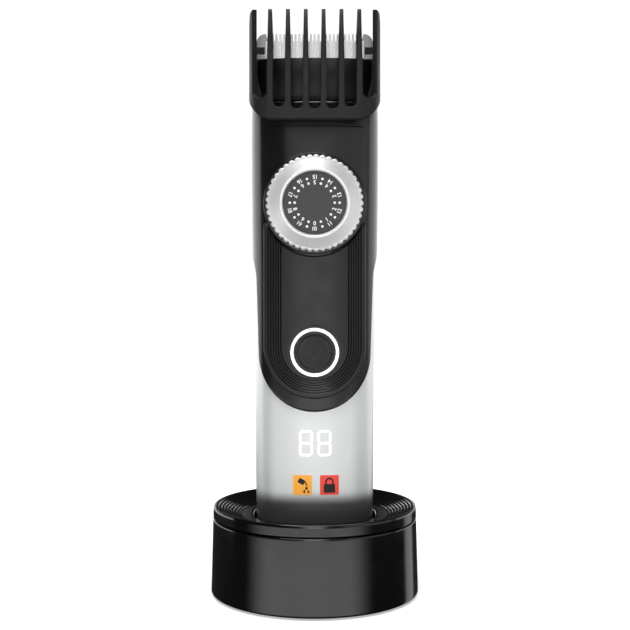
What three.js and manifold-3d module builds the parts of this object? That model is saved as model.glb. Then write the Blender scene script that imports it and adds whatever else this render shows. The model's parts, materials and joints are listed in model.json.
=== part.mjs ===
// A cordless beard trimmer standing in its charging dock, in millimetres, +Z up.
// The origin is on the table under the middle of the dock; the dial side faces -Y.
import * as THREE from 'three';
import { mergeVertices } from 'three/addons/utils/BufferGeometryUtils.js';
import Module from 'manifold-3d';

const wasm = await Module();
wasm.setup();

// ---------------------------------------------------------------- driving dimensions
const GAP = 0.3; // between neighbouring pieces
const ROUND = 32; // sides of a large round
const MEDIUM_ROUND = 16;
const SMALL_ROUND = 12;

// Dock
const DOCK_RIM_R = 33.6;
const DOCK_BASE_R = 34.3;
const DOCK_HEIGHT = 28.9;
const DOCK_SEAM_Z = 25;
const DOCK_SKIRT_Z = 0.6;
const DOCK_WALL = 2;
const DISH_Z = 26;
const DISH_R = 24.9;
const DISH_STEPS = 3;
const WELL_FLOOR_Z = 9.6;
const WELL_CLEARANCE = 0.8;
const WELL_WALL = 1.8;
const FOOT_R = 4.5;
const FOOT_RING_R = 24;
const POST_RING_R = 27.6;
const POST_ANGLES = [30, 150, 270];
const PIN_SPACING = 8;

// Trimmer body: [z, half width, half depth, y of the section's centre]
const LOWER_LEVELS = [
  [9.95, 18.7, 15.8, 0],
  [35, 19.4, 16.4, 0],
  [60, 19.6, 16.8, 0],
  [112, 19.65, 17.4, 0],
  [128, 19.65, 17.6, 0],
];
const COVER_LEVELS = [
  [60, 20.6, 18.1, 0],
  [112, 20.7, 18.7, 0],
  [128, 20.9, 18.9, 0],
  [144, 21, 18.8, 0],
  [154, 21, 18.3, 0],
  [161, 20.9, 17.2, 0],
];
const HEAD_LEVELS = [
  [161.3, 20.8, 17, 0],
  [162.8, 20.6, 16.7, 0],
  [164, 19.2, 15.9, -0.2],
  [170, 19, 13, -1.4],
  [177, 18.9, 8.1, -4.1],
];
const BODY_POWER = 2.8; // squareness of the body's section
const BODY_WALL = 1.8;
const TRIMMER_BOTTOM_Z = 9.95;
const HOUSING_TOP_Z = 111.7;
const COVER_BOTTOM_Z = 112;
const COVER_TOP_Z = 161;
const COVER_SPLIT_Y = 2;

// Front cover tail and grip plate
const TAIL_HALF_W = 18.4;
const TAIL_BOTTOM_Z = 61.6;
const TAIL_TOP_HALF_W = 19.2;
const TAIL_THICK = 1.3;
const PLATE_HALF_W = 16.6;
const PLATE_BOTTOM_Z = 65.9;
const PLATE_TOP_Z = 122;
const PLATE_RISE = 0.8;
const GROOVE_PITCH = 0.8;
const GROOVES = 6;

// Power button
const BUTTON_Z = 80.8;
const BUTTON_R = 6.45;
const LIGHT_R = 7.7;
const BUTTON_FRONT_Y = -20;

// Dial and comb drive
const DIAL_Z = 128.1;
const DIAL_R = 15.4;
const DIAL_DISC_R = 10;
const DIAL_LOBES = 45;
const DIAL_CLICKS = 20;
const DIAL_BACK_Y = -19.5;
const DIAL_FRONT_Y = -23;
const GEAR_MODULE = 0.75;
const HUB_TEETH = 12;
const WHEEL_TEETH = 24;
const RACK_PITCH = 2;
const PINION_TEETH = 10;
const PRESSURE_ANGLE = THREE.MathUtils.degToRad(25);
const TOOTH_SLACK = 0.16;
const GEAR_FRONT_Y = -13.9;
const GEAR_BACK_Y = -12.4;
const RACK_BACK_Y = -10.1;
const CARRIAGE_BACK_Y = -8.4;
const RACK_TRAVEL = 19.5;
const PRONG_X = [15.2, 17];
const PRONG_Y = [-4.4, -0.4];
const PRONG_TOP_Z = 171;

// Guide comb
const COMB_HALF_W = 21.35;
const COMB_FRONT_Y = -21.2;
const COMB_WALL = 1.7;
const COMB_SKIRT_WALL = 1.3; // below the head
const COMB_SKIRT_TOP_Z = 163;
const COMB_POWER = 6;
const COMB_BOTTOM_Z = 154.4;
const COMB_TIP_Z = 189.9;
const FIN_PITCH = 5.67;
const FIN_THICK = 1.6;
const SLOT_BOTTOM_Z = 158;

// Blades and drive
const BLADE_PITCH = 1.25;
const CUTTER_HALF_W = 16;
const CUTTER_Y = [-8.9, -7.7];
const CUTTER_TIP_Z = 183.8;
const CUTTER_SHOULDER_Z = 175.8;
const FIXED_HALF_W = 19;
const FIXED_Y = [-7.4, -6.2];
const FIXED_TIP_Z = 184.2;
const FIXED_SHOULDER_Z = 175.8;
const EAR_SLOT_Z = [177.3, 179.7];
const HEAD_LEDGE_Z = 175.4; // of the head in front of the blades
const TOOTH_LENGTH = 2.3;
const MOTOR_Y = 3;
const MOTOR_R = 10;
const MOTOR_HALF_T = 7.7;
const MOTOR_Z = [124, 148];
const PIN_R = 0.75;
const ECCENTRICITY = 1;
const CUTTER_TRAVEL = 1;

// Inside
const BATTERY_R = 9.2;
const BATTERY_Y = 3.8;
const BATTERY_Z = [33, 98];
const BOARD_Y = [-9.2, -7.6];

// USB inlet and charging board
const USB_Z = [5.5, 8.7];
const USB_HALF_W = 4.5;
const USB_Y = [25.5, 33.4];
const DOCK_BOARD_Z = [3.6, 5.2];

// Display and tile
const DIGIT_Z = [47.4, 55.7];
const DIGIT_W = 4.8;
const DIGIT_X = [-5, 0.9];
const SEGMENT_T = 0.9;
const ICON_Z = [35, 41.4];
const ICON_HALF_W = 3;
const OIL_X = -3.9;
const LOCK_X = 4.7;
const DISPLAY_FRONT_Y = -16.5;

// Gear wheel, screws, carriage and clip
const WHEEL_Z = DIAL_Z + (GEAR_MODULE * (HUB_TEETH + WHEEL_TEETH)) / 2;
const REAR_SCREW_Z = [120.5, 156];
const CLIP_Y = [-16.8, -16];
const RACK_Z = [WHEEL_Z - RACK_TRAVEL - 2.6, WHEEL_Z + 2];
const CROSS_Z = [134.6, 138.6];
const CHANNEL_Y = [-6, 1.2];
const WELL_X = 13.4;

// Comb outlines
const FIN_PROFILE = [
  [-20, 155.5], [COMB_FRONT_Y, 158], [COMB_FRONT_Y - 0.5, 170], [COMB_FRONT_Y - 0.5, 182],
  [COMB_FRONT_Y + 0.8, 186.6], [-19.2, 189.4], [-18, COMB_TIP_Z], [-16.8, 189.4],
  [-10, 185], [-9.2, 183], [-9.2, 179.4], [-13, 177.6], [-15.4, 170], [-17.6, 162], [-19.2, 158],
];
const ARM_PROFILE = [
  [-19.5, 158], [-19.5, 182], [-9.2, 183], [-6.2, 178], [0.8, 174.5], [0.8, 164.6], [-16, 164.6],
];
const SIDE_PROFILE = [
  [COMB_FRONT_Y - 1, 160], [COMB_FRONT_Y - 1, 186.6], [-17, COMB_TIP_Z], [-15, 189.4],
  ...ARM_PROFILE.slice(2, 6), [-9.8, 164.6], [-9.8, 160],
];
const COMB_WEB_TOP_Z = 182; // of the web behind the blades
const GUSSET_Y = [-14.2, -12.8];

// Blade screws
const BLADE_SCREW_X = [-9.6, 9.6];
const BLADE_SCREW_Z = 173.4;

// ---------------------------------------------------------------- materials
function plastic(color, roughness) {
  return new THREE.MeshStandardMaterial({ color, roughness, metalness: 0 });
}

function metal(color, roughness) {
  return new THREE.MeshStandardMaterial({ color, roughness, metalness: 1 });
}

const BLACK_GLOSS = plastic(0x111113, 0.22);
const BLACK_SATIN = plastic(0x26272a, 0.45);
const SILVER_SHELL = metal(0xd6d9d8, 0.35);
const DIAL_METAL = metal(0xe2e2e4, 0.3);
const DISC_GREY = plastic(0x57575a, 0.5);
const STEEL = metal(0xc9ccd0, 0.3);
const ZINC = metal(0x9a9da2, 0.4);
const BRASS = metal(0xc9a552, 0.35);
const BOARD_GREEN = plastic(0x1f6b3a, 0.5);
const RUBBER = plastic(0x1b1b1c, 0.9);
const LIGHT_WHITE = plastic(0xf6f8ff, 0.4);
const ICON_ORANGE = plastic(0xf0a02d, 0.4);
const ICON_RED = plastic(0xe13c2d, 0.4);
const CELL_WRAP = plastic(0x2f6fb5, 0.5);
const NYLON = plastic(0xe8e6df, 0.5);

// ---------------------------------------------------------------- solids
function signedVolume(positions, triangles) {
  const a = new THREE.Vector3();
  const b = new THREE.Vector3();
  const c = new THREE.Vector3();
  let volume = 0;
  for (let i = 0; i < triangles.length; i += 3) {
    a.fromArray(positions, triangles[i] * 3);
    b.fromArray(positions, triangles[i + 1] * 3);
    c.fromArray(positions, triangles[i + 2] * 3);
    volume += a.dot(b.cross(c)) / 6;
  }
  return volume;
}

// A three.js geometry as a closed solid with its faces pointing out.
function solid(geometry) {
  const bare = geometry.clone();
  bare.deleteAttribute('normal');
  bare.deleteAttribute('uv');
  const merged = mergeVertices(bare, 1e-4);
  const positions = new Float32Array(merged.attributes.position.array);
  const triangles = [];
  const index = merged.index.array;
  for (let i = 0; i < index.length; i += 3) {
    const [p, q, r] = [index[i], index[i + 1], index[i + 2]];
    if (p !== q && q !== r && r !== p) triangles.push(p, q, r);
  }
  if (signedVolume(positions, triangles) < 0) triangles.reverse();
  const triVerts = new Uint32Array(triangles);
  return new wasm.Manifold(new wasm.Mesh({ numProp: 3, vertProperties: positions, triVerts }));
}

function geometryOf(manifold) {
  const mesh = manifold.getMesh();
  const geometry = new THREE.BufferGeometry();
  geometry.setAttribute('position', new THREE.BufferAttribute(mesh.vertProperties, 3));
  geometry.setIndex(new THREE.BufferAttribute(mesh.triVerts, 1));
  geometry.computeVertexNormals();
  return geometry;
}

function unite(solids) {
  return solids.reduce((sum, next) => sum.add(next));
}

function cut(base, solids) {
  return solids.reduce((rest, tool) => rest.subtract(tool), base);
}

function box([x0, x1], [y0, y1], [z0, z1]) {
  const geometry = new THREE.BoxGeometry(x1 - x0, y1 - y0, z1 - z0);
  geometry.translate((x0 + x1) / 2, (y0 + y1) / 2, (z0 + z1) / 2);
  return solid(geometry);
}

// A cylinder along Z.
function post(radius, x, y, [z0, z1], sides = SMALL_ROUND) {
  const geometry = new THREE.CylinderGeometry(radius, radius, z1 - z0, sides);
  geometry.rotateX(Math.PI / 2);
  geometry.translate(x, y, (z0 + z1) / 2);
  return solid(geometry);
}

// A cylinder along Y.
function rod(radius, x, z, [y0, y1], sides = SMALL_ROUND) {
  const geometry = new THREE.CylinderGeometry(radius, radius, y1 - y0, sides);
  geometry.translate(x, (y0 + y1) / 2, z);
  return solid(geometry);
}

// A profile of [radius, z] points turned about Z.
function turned(profile, x = 0, y = 0, sides = ROUND) {
  const geometry = new THREE.LatheGeometry(profile.map(([r, h]) => new THREE.Vector2(r, h)), sides);
  geometry.rotateX(Math.PI / 2);
  geometry.translate(x, y, 0);
  return solid(geometry);
}

// A profile of [radius, y] points turned about a line along Y.
function turnedAlongY(profile, x, z, sides = ROUND) {
  const geometry = new THREE.LatheGeometry(profile.map(([r, h]) => new THREE.Vector2(r, h)), sides);
  geometry.translate(x, 0, z);
  return solid(geometry);
}

function shapeOf(points) {
  return new THREE.Shape(points.map(([u, v]) => new THREE.Vector2(u, v)));
}

// A shape drawn in (x, z) and given thickness along Y.
function slabY(shape, [y0, y1], curveSegments = 8) {
  const geometry = new THREE.ExtrudeGeometry(shape, { depth: y1 - y0, bevelEnabled: false, curveSegments });
  geometry.rotateX(Math.PI / 2);
  geometry.translate(0, y1, 0);
  return solid(geometry);
}

// A shape drawn in (y, z) and given thickness along X.
function slabX(shape, [x0, x1], curveSegments = 8) {
  const geometry = new THREE.ExtrudeGeometry(shape, { depth: x1 - x0, bevelEnabled: false, curveSegments });
  const axes = new THREE.Matrix4();
  axes.makeBasis(new THREE.Vector3(0, 1, 0), new THREE.Vector3(0, 0, 1), new THREE.Vector3(1, 0, 0));
  geometry.applyMatrix4(axes);
  geometry.translate(x0, 0, 0);
  return solid(geometry);
}

function lerpLevels(levels, z) {
  const above = Math.max(1, levels.findIndex((level) => level[0] >= z));
  const [low, high] = [levels[above - 1], levels[above]];
  const t = (z - low[0]) / (high[0] - low[0]);
  return low.map((value, i) => THREE.MathUtils.lerp(value, high[i], t));
}

// A circle's coordinate pushed out towards the side of a square.
function squared(value, power) {
  return Math.abs(value) < 1e-6 ? 0 : Math.sign(value) * Math.abs(value) ** (2 / power);
}

// A tall solid whose sections are rounded rectangles, between two heights. grow moves its wall out.
function loft(levels, [z0, z1], grow = 0, power = BODY_POWER) {
  const inner = levels.filter(([z]) => z > z0 + 0.01 && z < z1 - 0.01);
  const rows = [lerpLevels(levels, z0), ...inner, lerpLevels(levels, z1)];
  rows[0][0] = z0;
  rows[rows.length - 1][0] = z1;
  const geometry = new THREE.CylinderGeometry(1, 1, 1, ROUND, rows.length - 1);
  geometry.rotateX(Math.PI / 2);
  const position = geometry.attributes.position;
  for (let i = 0; i < position.count; i += 1) {
    const row = rows[Math.round((position.getZ(i) + 0.5) * (rows.length - 1))];
    const radius = Math.hypot(position.getX(i), position.getY(i));
    const angle = Math.atan2(position.getY(i), position.getX(i));
    const x = radius > 0.5 ? (row[1] + grow) * squared(Math.cos(angle), power) : 0;
    const y = radius > 0.5 ? (row[2] + grow) * squared(Math.sin(angle), power) : 0;
    position.setXYZ(i, x, row[3] + y, row[0]);
  }
  return solid(geometry);
}

// An outline with straight sides and a round bottom, as wide as 2 * halfW.
function tongueOutline(halfW, bottomZ, topZ) {
  const shape = new THREE.Shape();
  shape.moveTo(-halfW, topZ);
  shape.lineTo(-halfW, bottomZ + halfW);
  shape.absarc(0, bottomZ + halfW, halfW, Math.PI, 2 * Math.PI, false);
  shape.lineTo(halfW, topZ);
  return shape;
}

// ---------------------------------------------------------------- scene graph
const trimmerAndDock = new THREE.Group();

function add(name, material, manifold) {
  const mesh = new THREE.Mesh(geometryOf(manifold), material);
  mesh.name = name;
  trimmerAndDock.add(mesh);
}

// ---------------------------------------------------------------- dock
function ringPoint(radius, degrees) {
  const angle = THREE.MathUtils.degToRad(degrees);
  return [radius * Math.cos(angle), radius * Math.sin(angle)];
}

function dockShell() {
  const shell = turned([
    [DOCK_BASE_R - DOCK_WALL - 0.3, DOCK_SKIRT_Z],
    [DOCK_BASE_R - 0.4, DOCK_SKIRT_Z],
    [DOCK_BASE_R, DOCK_SKIRT_Z + 0.6],
    [DOCK_RIM_R + 0.1, DOCK_SEAM_Z - GAP / 2],
    [DOCK_RIM_R - DOCK_WALL, DOCK_SEAM_Z - GAP / 2],
    [DOCK_BASE_R - DOCK_WALL - 0.3, DOCK_SKIRT_Z],
  ]);
  const port = box([-USB_HALF_W - 0.4, USB_HALF_W + 0.4], [30, 36], [USB_Z[0] - 0.4, USB_Z[1] + 0.4]);
  return shell.subtract(port);
}

// The top of the dock: rim, stepped dish, the well that holds the trimmer and three screw posts.
function dockDish() {
  const spigotR = DOCK_RIM_R - DOCK_WALL - GAP;
  const profile = [
    [0, DISH_Z - 1.8],
    [spigotR - 1, DISH_Z - 1.8],
    [spigotR - 1, DOCK_SEAM_Z - 3],
    [spigotR, DOCK_SEAM_Z - 3],
    [spigotR, DOCK_SEAM_Z + GAP / 2],
    [DOCK_RIM_R + 0.1, DOCK_SEAM_Z + GAP / 2],
    [DOCK_RIM_R, DOCK_HEIGHT - 0.3],
    [DOCK_RIM_R - 0.3, DOCK_HEIGHT],
    [DOCK_RIM_R - 0.7, DOCK_HEIGHT],
  ];
  const firstR = DOCK_RIM_R - 0.8;
  const stepR = (firstR - DISH_R) / DISH_STEPS;
  const stepZ = (DOCK_HEIGHT - 0.3 - DISH_Z) / DISH_STEPS;
  for (let step = 0; step < DISH_STEPS; step += 1) {
    const z = DOCK_HEIGHT - 0.3 - step * stepZ;
    profile.push([firstR - step * stepR, z]);
    profile.push([firstR - (step + 1) * stepR + 0.1, z]);
  }
  profile.push([DISH_R, DISH_Z], [0, DISH_Z]);
  const wellOuter = loft(LOWER_LEVELS, [WELL_FLOOR_Z + 0.4, DISH_Z - 0.5], WELL_CLEARANCE + WELL_WALL);
  const floor = box([-16, 16], [-13, 13], [WELL_FLOOR_Z - WELL_WALL, WELL_FLOOR_Z + 1]);
  const wellInner = loft(LOWER_LEVELS, [TRIMMER_BOTTOM_Z, DISH_Z + 2], WELL_CLEARANCE);
  const wellBottom = loft(LOWER_LEVELS, [TRIMMER_BOTTOM_Z, TRIMMER_BOTTOM_Z + 2], WELL_CLEARANCE);
  const posts = POST_ANGLES.map((degrees) => {
    const [x, y] = ringPoint(POST_RING_R, degrees);
    return post(2.8, x, y, [3.2, DISH_Z - 1]);
  });
  const pilots = POST_ANGLES.map((degrees) => {
    const [x, y] = ringPoint(POST_RING_R, degrees);
    return post(1.5, x, y, [2, 11]);
  });
  const pinHoles = [-1, 1].map((side) => post(2, (side * PIN_SPACING) / 2, 0, [5, 12]));
  const body = unite([turned(profile), wellOuter, floor, ...posts]);
  const sunk = wellBottom.translate(0, 0, WELL_FLOOR_Z - TRIMMER_BOTTOM_Z);
  return cut(body, [wellInner, sunk, ...pilots, ...pinHoles]);
}

function dockBasePlate() {
  const plateR = DOCK_BASE_R - DOCK_WALL - 0.3 - 0.4;
  const plate = post(plateR, 0, 0, [0.9, 2.7], ROUND);
  const footPockets = [45, 135, 225, 315].map((degrees) => {
    const [x, y] = ringPoint(FOOT_RING_R, degrees);
    return post(FOOT_R + 0.3, x, y, [0, 1.8]);
  });
  const screwHoles = POST_ANGLES.flatMap((degrees) => {
    const [x, y] = ringPoint(POST_RING_R, degrees);
    return [post(1.5, x, y, [0, 4]), post(2.9, x, y, [0, 2])];
  });
  return cut(plate, [...footPockets, ...screwHoles]);
}

function dockScrew(x, y) {
  return unite([post(2.5, x, y, [0.5, 1.7]), post(1.2, x, y, [1.7, 9])]);
}

function dockBallast() {
  const ring = turned([[24.5, 10.5], [31, 10.5], [31, 16.5], [24.5, 16.5], [24.5, 10.5]]);
  const holes = POST_ANGLES.map((degrees) => {
    const [x, y] = ringPoint(POST_RING_R, degrees);
    return post(3.2, x, y, [9, 18]);
  });
  return cut(ring, holes);
}

function roundedRect(halfW, halfH, radius, centreV) {
  const shape = new THREE.Shape();
  shape.absarc(halfW - radius, centreV + halfH - radius, radius, 0, Math.PI / 2, false);
  shape.absarc(radius - halfW, centreV + halfH - radius, radius, Math.PI / 2, Math.PI, false);
  shape.absarc(radius - halfW, centreV - halfH + radius, radius, Math.PI, 1.5 * Math.PI, false);
  shape.absarc(halfW - radius, centreV - halfH + radius, radius, 1.5 * Math.PI, 2 * Math.PI, false);
  return shape;
}

function usbSocket() {
  const centreZ = (USB_Z[0] + USB_Z[1]) / 2;
  const halfH = (USB_Z[1] - USB_Z[0]) / 2;
  const body = slabY(roundedRect(USB_HALF_W, halfH, 1.4, centreZ), USB_Y, 3);
  const mouthShape = roundedRect(USB_HALF_W - 0.3, halfH - 0.3, 1.2, centreZ);
  const mouth = slabY(mouthShape, [USB_Y[0] + 2, USB_Y[1] + 1], 3);
  const tongue = box([-3.3, 3.3], [USB_Y[0] + 1, USB_Y[1] - 1], [centreZ - 0.35, centreZ + 0.35]);
  return body.subtract(mouth).add(tongue);
}

function pinBarrel(x) {
  return cut(post(1.7, x, 0, [DOCK_BOARD_Z[1] + GAP, 8.6]), [post(1.15, x, 0, [6, 10])]);
}

function chargePin(x) {
  return turned([[0, 6.9], [0.85, 6.9], [0.85, 9.5], [0.5, 9.9], [0, 9.9]], x, 0, SMALL_ROUND);
}

function addDock() {
  add('dock_shell', BLACK_GLOSS, dockShell());
  add('dock_dish', BLACK_GLOSS, dockDish());
  add('dock_base_plate', BLACK_SATIN, dockBasePlate());
  add('dock_ballast', ZINC, dockBallast());
  add('dock_circuit_board', BOARD_GREEN, box([-11, 11], [-10, 29], DOCK_BOARD_Z));
  add('dock_usb_socket', STEEL, usbSocket());
  ['left', 'right'].forEach((side, i) => {
    const x = (i - 0.5) * PIN_SPACING;
    add(`dock_pin_barrel_${side}`, BRASS, pinBarrel(x));
    add(`charge_pin_${side}`, BRASS, chargePin(x));
  });
  [45, 135, 225, 315].forEach((degrees, i) => {
    const [x, y] = ringPoint(FOOT_RING_R, degrees);
    add(`dock_foot_${i + 1}`, RUBBER, post(FOOT_R, x, y, [0, 1.5]));
  });
  POST_ANGLES.forEach((degrees, i) => {
    const [x, y] = ringPoint(POST_RING_R, degrees);
    add(`dock_screw_${i + 1}`, ZINC, dockScrew(x, y));
  });
}

// ---------------------------------------------------------------- silver lower housing

// The seven bars of one digit, as [x range, z range], made larger by grow all round.
function digitBars(x0, grow) {
  const x1 = x0 + DIGIT_W;
  const [z0, z1] = DIGIT_Z;
  const middle = (z0 + z1) / 2;
  const half = SEGMENT_T / 2;
  const flat = [z0 + half, middle, z1 - half].map((z) => [
    [x0 + SEGMENT_T + 0.4 - grow, x1 - SEGMENT_T - 0.4 + grow],
    [z - half - grow, z + half + grow],
  ]);
  const upright = [x0, x1 - SEGMENT_T].flatMap((x) => [
    [[x - grow, x + SEGMENT_T + grow], [z0 + 0.7 - grow, middle - 0.35 + grow]],
    [[x - grow, x + SEGMENT_T + grow], [middle + 0.35 - grow, z1 - 0.7 + grow]],
  ]);
  return [...flat, ...upright];
}

function digitSolids(yRange, grow) {
  return DIGIT_X.flatMap((x0) => digitBars(x0, grow).map(([x, z]) => box(x, yRange, z)));
}

function iconTile(centreX, yRange, grow) {
  const x = [centreX - ICON_HALF_W - grow, centreX + ICON_HALF_W + grow];
  return box(x, yRange, [ICON_Z[0] - grow, ICON_Z[1] + grow]);
}

function lowerHousing() {
  const outer = loft(LOWER_LEVELS, [TRIMMER_BOTTOM_Z + 2.3, HOUSING_TOP_Z]);
  const spigot = loft(LOWER_LEVELS, [HOUSING_TOP_Z - 1, HOUSING_TOP_Z + 4.2], -1.9);
  const inner = loft(LOWER_LEVELS, [TRIMMER_BOTTOM_Z, HOUSING_TOP_Z - 1.8], -BODY_WALL);
  const neck = loft(LOWER_LEVELS, [HOUSING_TOP_Z - 1.9, HOUSING_TOP_Z + 4.2], -2.9);
  const mouth = neck.translate(0, 0, 0.1);
  const buttonHole = rod(LIGHT_R + 0.4, 0, BUTTON_Z, [-20, -8], MEDIUM_ROUND);
  const windows = [iconTile(OIL_X, [-20, -12], 0.1), iconTile(LOCK_X, [-20, -12], 0.1)];
  const openings = [inner, neck, mouth, buttonHole, ...windows, ...digitSolids([-20, -12], 0.1)];
  return cut(outer.add(spigot), openings);
}

function displayLightGuide() {
  const base = box([-7.4, 7.4], [-14.2, -13.2], [DIGIT_Z[0] - 0.8, DIGIT_Z[1] + 0.8]);
  return unite([base, ...digitSolids([DISPLAY_FRONT_Y, -14], 0)]);
}

function bottomCap() {
  const skirt = loft(LOWER_LEVELS, [TRIMMER_BOTTOM_Z, TRIMMER_BOTTOM_Z + 2], 0);
  const plug = loft(LOWER_LEVELS, [TRIMMER_BOTTOM_Z + 1.9, TRIMMER_BOTTOM_Z + 5], -BODY_WALL - GAP);
  const hollow = loft(LOWER_LEVELS, [TRIMMER_BOTTOM_Z + 2, TRIMMER_BOTTOM_Z + 5], -BODY_WALL - 1.8);
  const top = hollow.translate(0, 0, 0.1);
  const holes = [-1, 1].map((side) => post(2.1, (side * PIN_SPACING) / 2, 0, [9, 13]));
  return cut(skirt.add(plug), [hollow, top, ...holes]);
}

function addLowerHousing() {
  add('lower_housing', SILVER_SHELL, lowerHousing());
  add('bottom_cap', BLACK_SATIN, bottomCap());
  add('charge_contact_left', BRASS, post(1.8, -PIN_SPACING / 2, 0, [10.25, 12.8]));
  add('charge_contact_right', BRASS, post(1.8, PIN_SPACING / 2, 0, [10.25, 12.8]));
  add('display_light_guide', LIGHT_WHITE, displayLightGuide());
  add('oil_icon_lens', ICON_ORANGE, iconTile(OIL_X, [DISPLAY_FRONT_Y + 0.2, -13.2], -0.1));
  add('lock_icon_lens', ICON_RED, iconTile(LOCK_X, [DISPLAY_FRONT_Y + 0.2, -13.2], -0.1));
  add('display_led_block', BLACK_SATIN, box([-8, 8], [-12.8, BOARD_Y[0] - GAP], [34, 57]));
  add('main_board', BOARD_GREEN, box([-13, 13], BOARD_Y, [30, 104]));
  add('tact_switch', ZINC, unite([
    box([-3, 3], [-11.8, BOARD_Y[0] - GAP], [BUTTON_Z - 3, BUTTON_Z + 3]),
    rod(1.5, 0, BUTTON_Z, [-12.6, -11.7]),
  ]));
  add('battery_cell', CELL_WRAP, turned([
    [0, BATTERY_Z[0]],
    [BATTERY_R - 0.4, BATTERY_Z[0]],
    [BATTERY_R, BATTERY_Z[0] + 0.6],
    [BATTERY_R, BATTERY_Z[1] - 2],
    [BATTERY_R - 0.6, BATTERY_Z[1] - 1.2],
    [3, BATTERY_Z[1] - 1.2],
    [3, BATTERY_Z[1]],
    [0, BATTERY_Z[1]],
  ], 0, BATTERY_Y, 24));
  add('battery_cradle', BLACK_SATIN, batteryCradle());
}

function batteryCradle() {
  const tube = turned([
    [BATTERY_R + 0.3, 31],
    [BATTERY_R + 1.3, 31],
    [BATTERY_R + 1.3, 100],
    [BATTERY_R + 0.3, 100],
    [BATTERY_R + 0.3, 31],
  ], 0, BATTERY_Y, 24);
  const openFront = box([-15, 15], [-15, BATTERY_Y - 2], [20, 110]);
  const windows = [45, 85].map((z) => box([-15, 15], [BATTERY_Y - 1, BATTERY_Y + 5], [z - 8, z + 8]));
  return cut(tube, [openFront, ...windows]);
}

// ---------------------------------------------------------------- covers

// The front view of the front cover: full width above, then shoulders that run into a long tongue.
function coverOutline() {
  const arcZ = TAIL_BOTTOM_Z + TAIL_HALF_W;
  const shape = new THREE.Shape();
  shape.moveTo(-25, COVER_TOP_Z + 5);
  shape.lineTo(-25, COVER_BOTTOM_Z);
  shape.lineTo(-20.8, COVER_BOTTOM_Z);
  shape.bezierCurveTo(-20.2, 109, -19.4, 107.5, -TAIL_TOP_HALF_W, 104.5);
  shape.lineTo(-TAIL_HALF_W, arcZ);
  shape.absarc(0, arcZ, TAIL_HALF_W, Math.PI, 2 * Math.PI, false);
  shape.lineTo(TAIL_TOP_HALF_W, 104.5);
  shape.bezierCurveTo(19.4, 107.5, 20.2, 109, 20.8, COVER_BOTTOM_Z);
  shape.lineTo(25, COVER_BOTTOM_Z);
  shape.lineTo(25, COVER_TOP_Z + 5);
  return shape;
}

function frontCover() {
  const shell = loft(COVER_LEVELS, [TAIL_BOTTOM_Z - 1, COVER_TOP_Z]);
  const outline = slabY(coverOutline(), [-26, COVER_SPLIT_Y - GAP / 2], 6);
  const boss = rod(DIAL_R + 0.9, 0, DIAL_Z, [DIAL_BACK_Y + 0.4, -8], ROUND);
  const housingSpace = loft(LOWER_LEVELS, [TAIL_BOTTOM_Z - 5, HOUSING_TOP_Z + GAP], GAP);
  const inner = loft(COVER_LEVELS, [HOUSING_TOP_Z, COVER_TOP_Z], -BODY_WALL);
  const innerTop = loft(COVER_LEVELS, [COVER_TOP_Z - 3, COVER_TOP_Z], -BODY_WALL).translate(0, 0, 1);
  const hubHole = rod(4, 0, DIAL_Z, [-25, -5], 24);
  const buttonHole = rod(LIGHT_R + 0.3, 0, BUTTON_Z, [-25, -5], MEDIUM_ROUND);
  const liftLine = box([-15, 14.4], [-19.2, -17.5], [152.8, 153.8]);
  const axlePost = unite([
    rod(2.4, 0, WHEEL_Z, [-18, GEAR_FRONT_Y - GAP]),
    rod(1, 0, WHEEL_Z, [-16, RACK_BACK_Y - 0.2]),
  ]);
  const skin = cut(shell.add(boss), [housingSpace, inner, innerTop, hubHole, buttonHole, liftLine]);
  return skin.intersect(outline).add(axlePost);
}

function rearSeatY(z) {
  return lerpLevels(COVER_LEVELS, z)[2] - 2.4;
}

function rearCover() {
  const shell = loft(COVER_LEVELS, [COVER_BOTTOM_Z, COVER_TOP_Z]);
  const inner = loft(COVER_LEVELS, [COVER_BOTTOM_Z - 1, COVER_TOP_Z], -BODY_WALL);
  const innerTop = inner.translate(0, 0, 1);
  const keepRear = box([-30, 30], [COVER_SPLIT_Y + GAP / 2, 30], [50, 170]);
  const bosses = REAR_SCREW_Z.map((z) => rod(3.2, 0, z, [10, rearSeatY(z) + 0.6]));
  const sinks = REAR_SCREW_Z.flatMap((z) => [rod(2.6, 0, z, [rearSeatY(z), 25]), rod(1.4, 0, z, [5, 25])]);
  return cut(unite([cut(shell, [inner, innerTop]), ...bosses]), sinks).intersect(keepRear);
}

function rearScrew(z) {
  const seatY = rearSeatY(z) + GAP;
  return rod(1.1, 0, z, [seatY - 8, seatY + 0.1]).add(rod(2.2, 0, z, [seatY, seatY + 1.2]));
}

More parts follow.
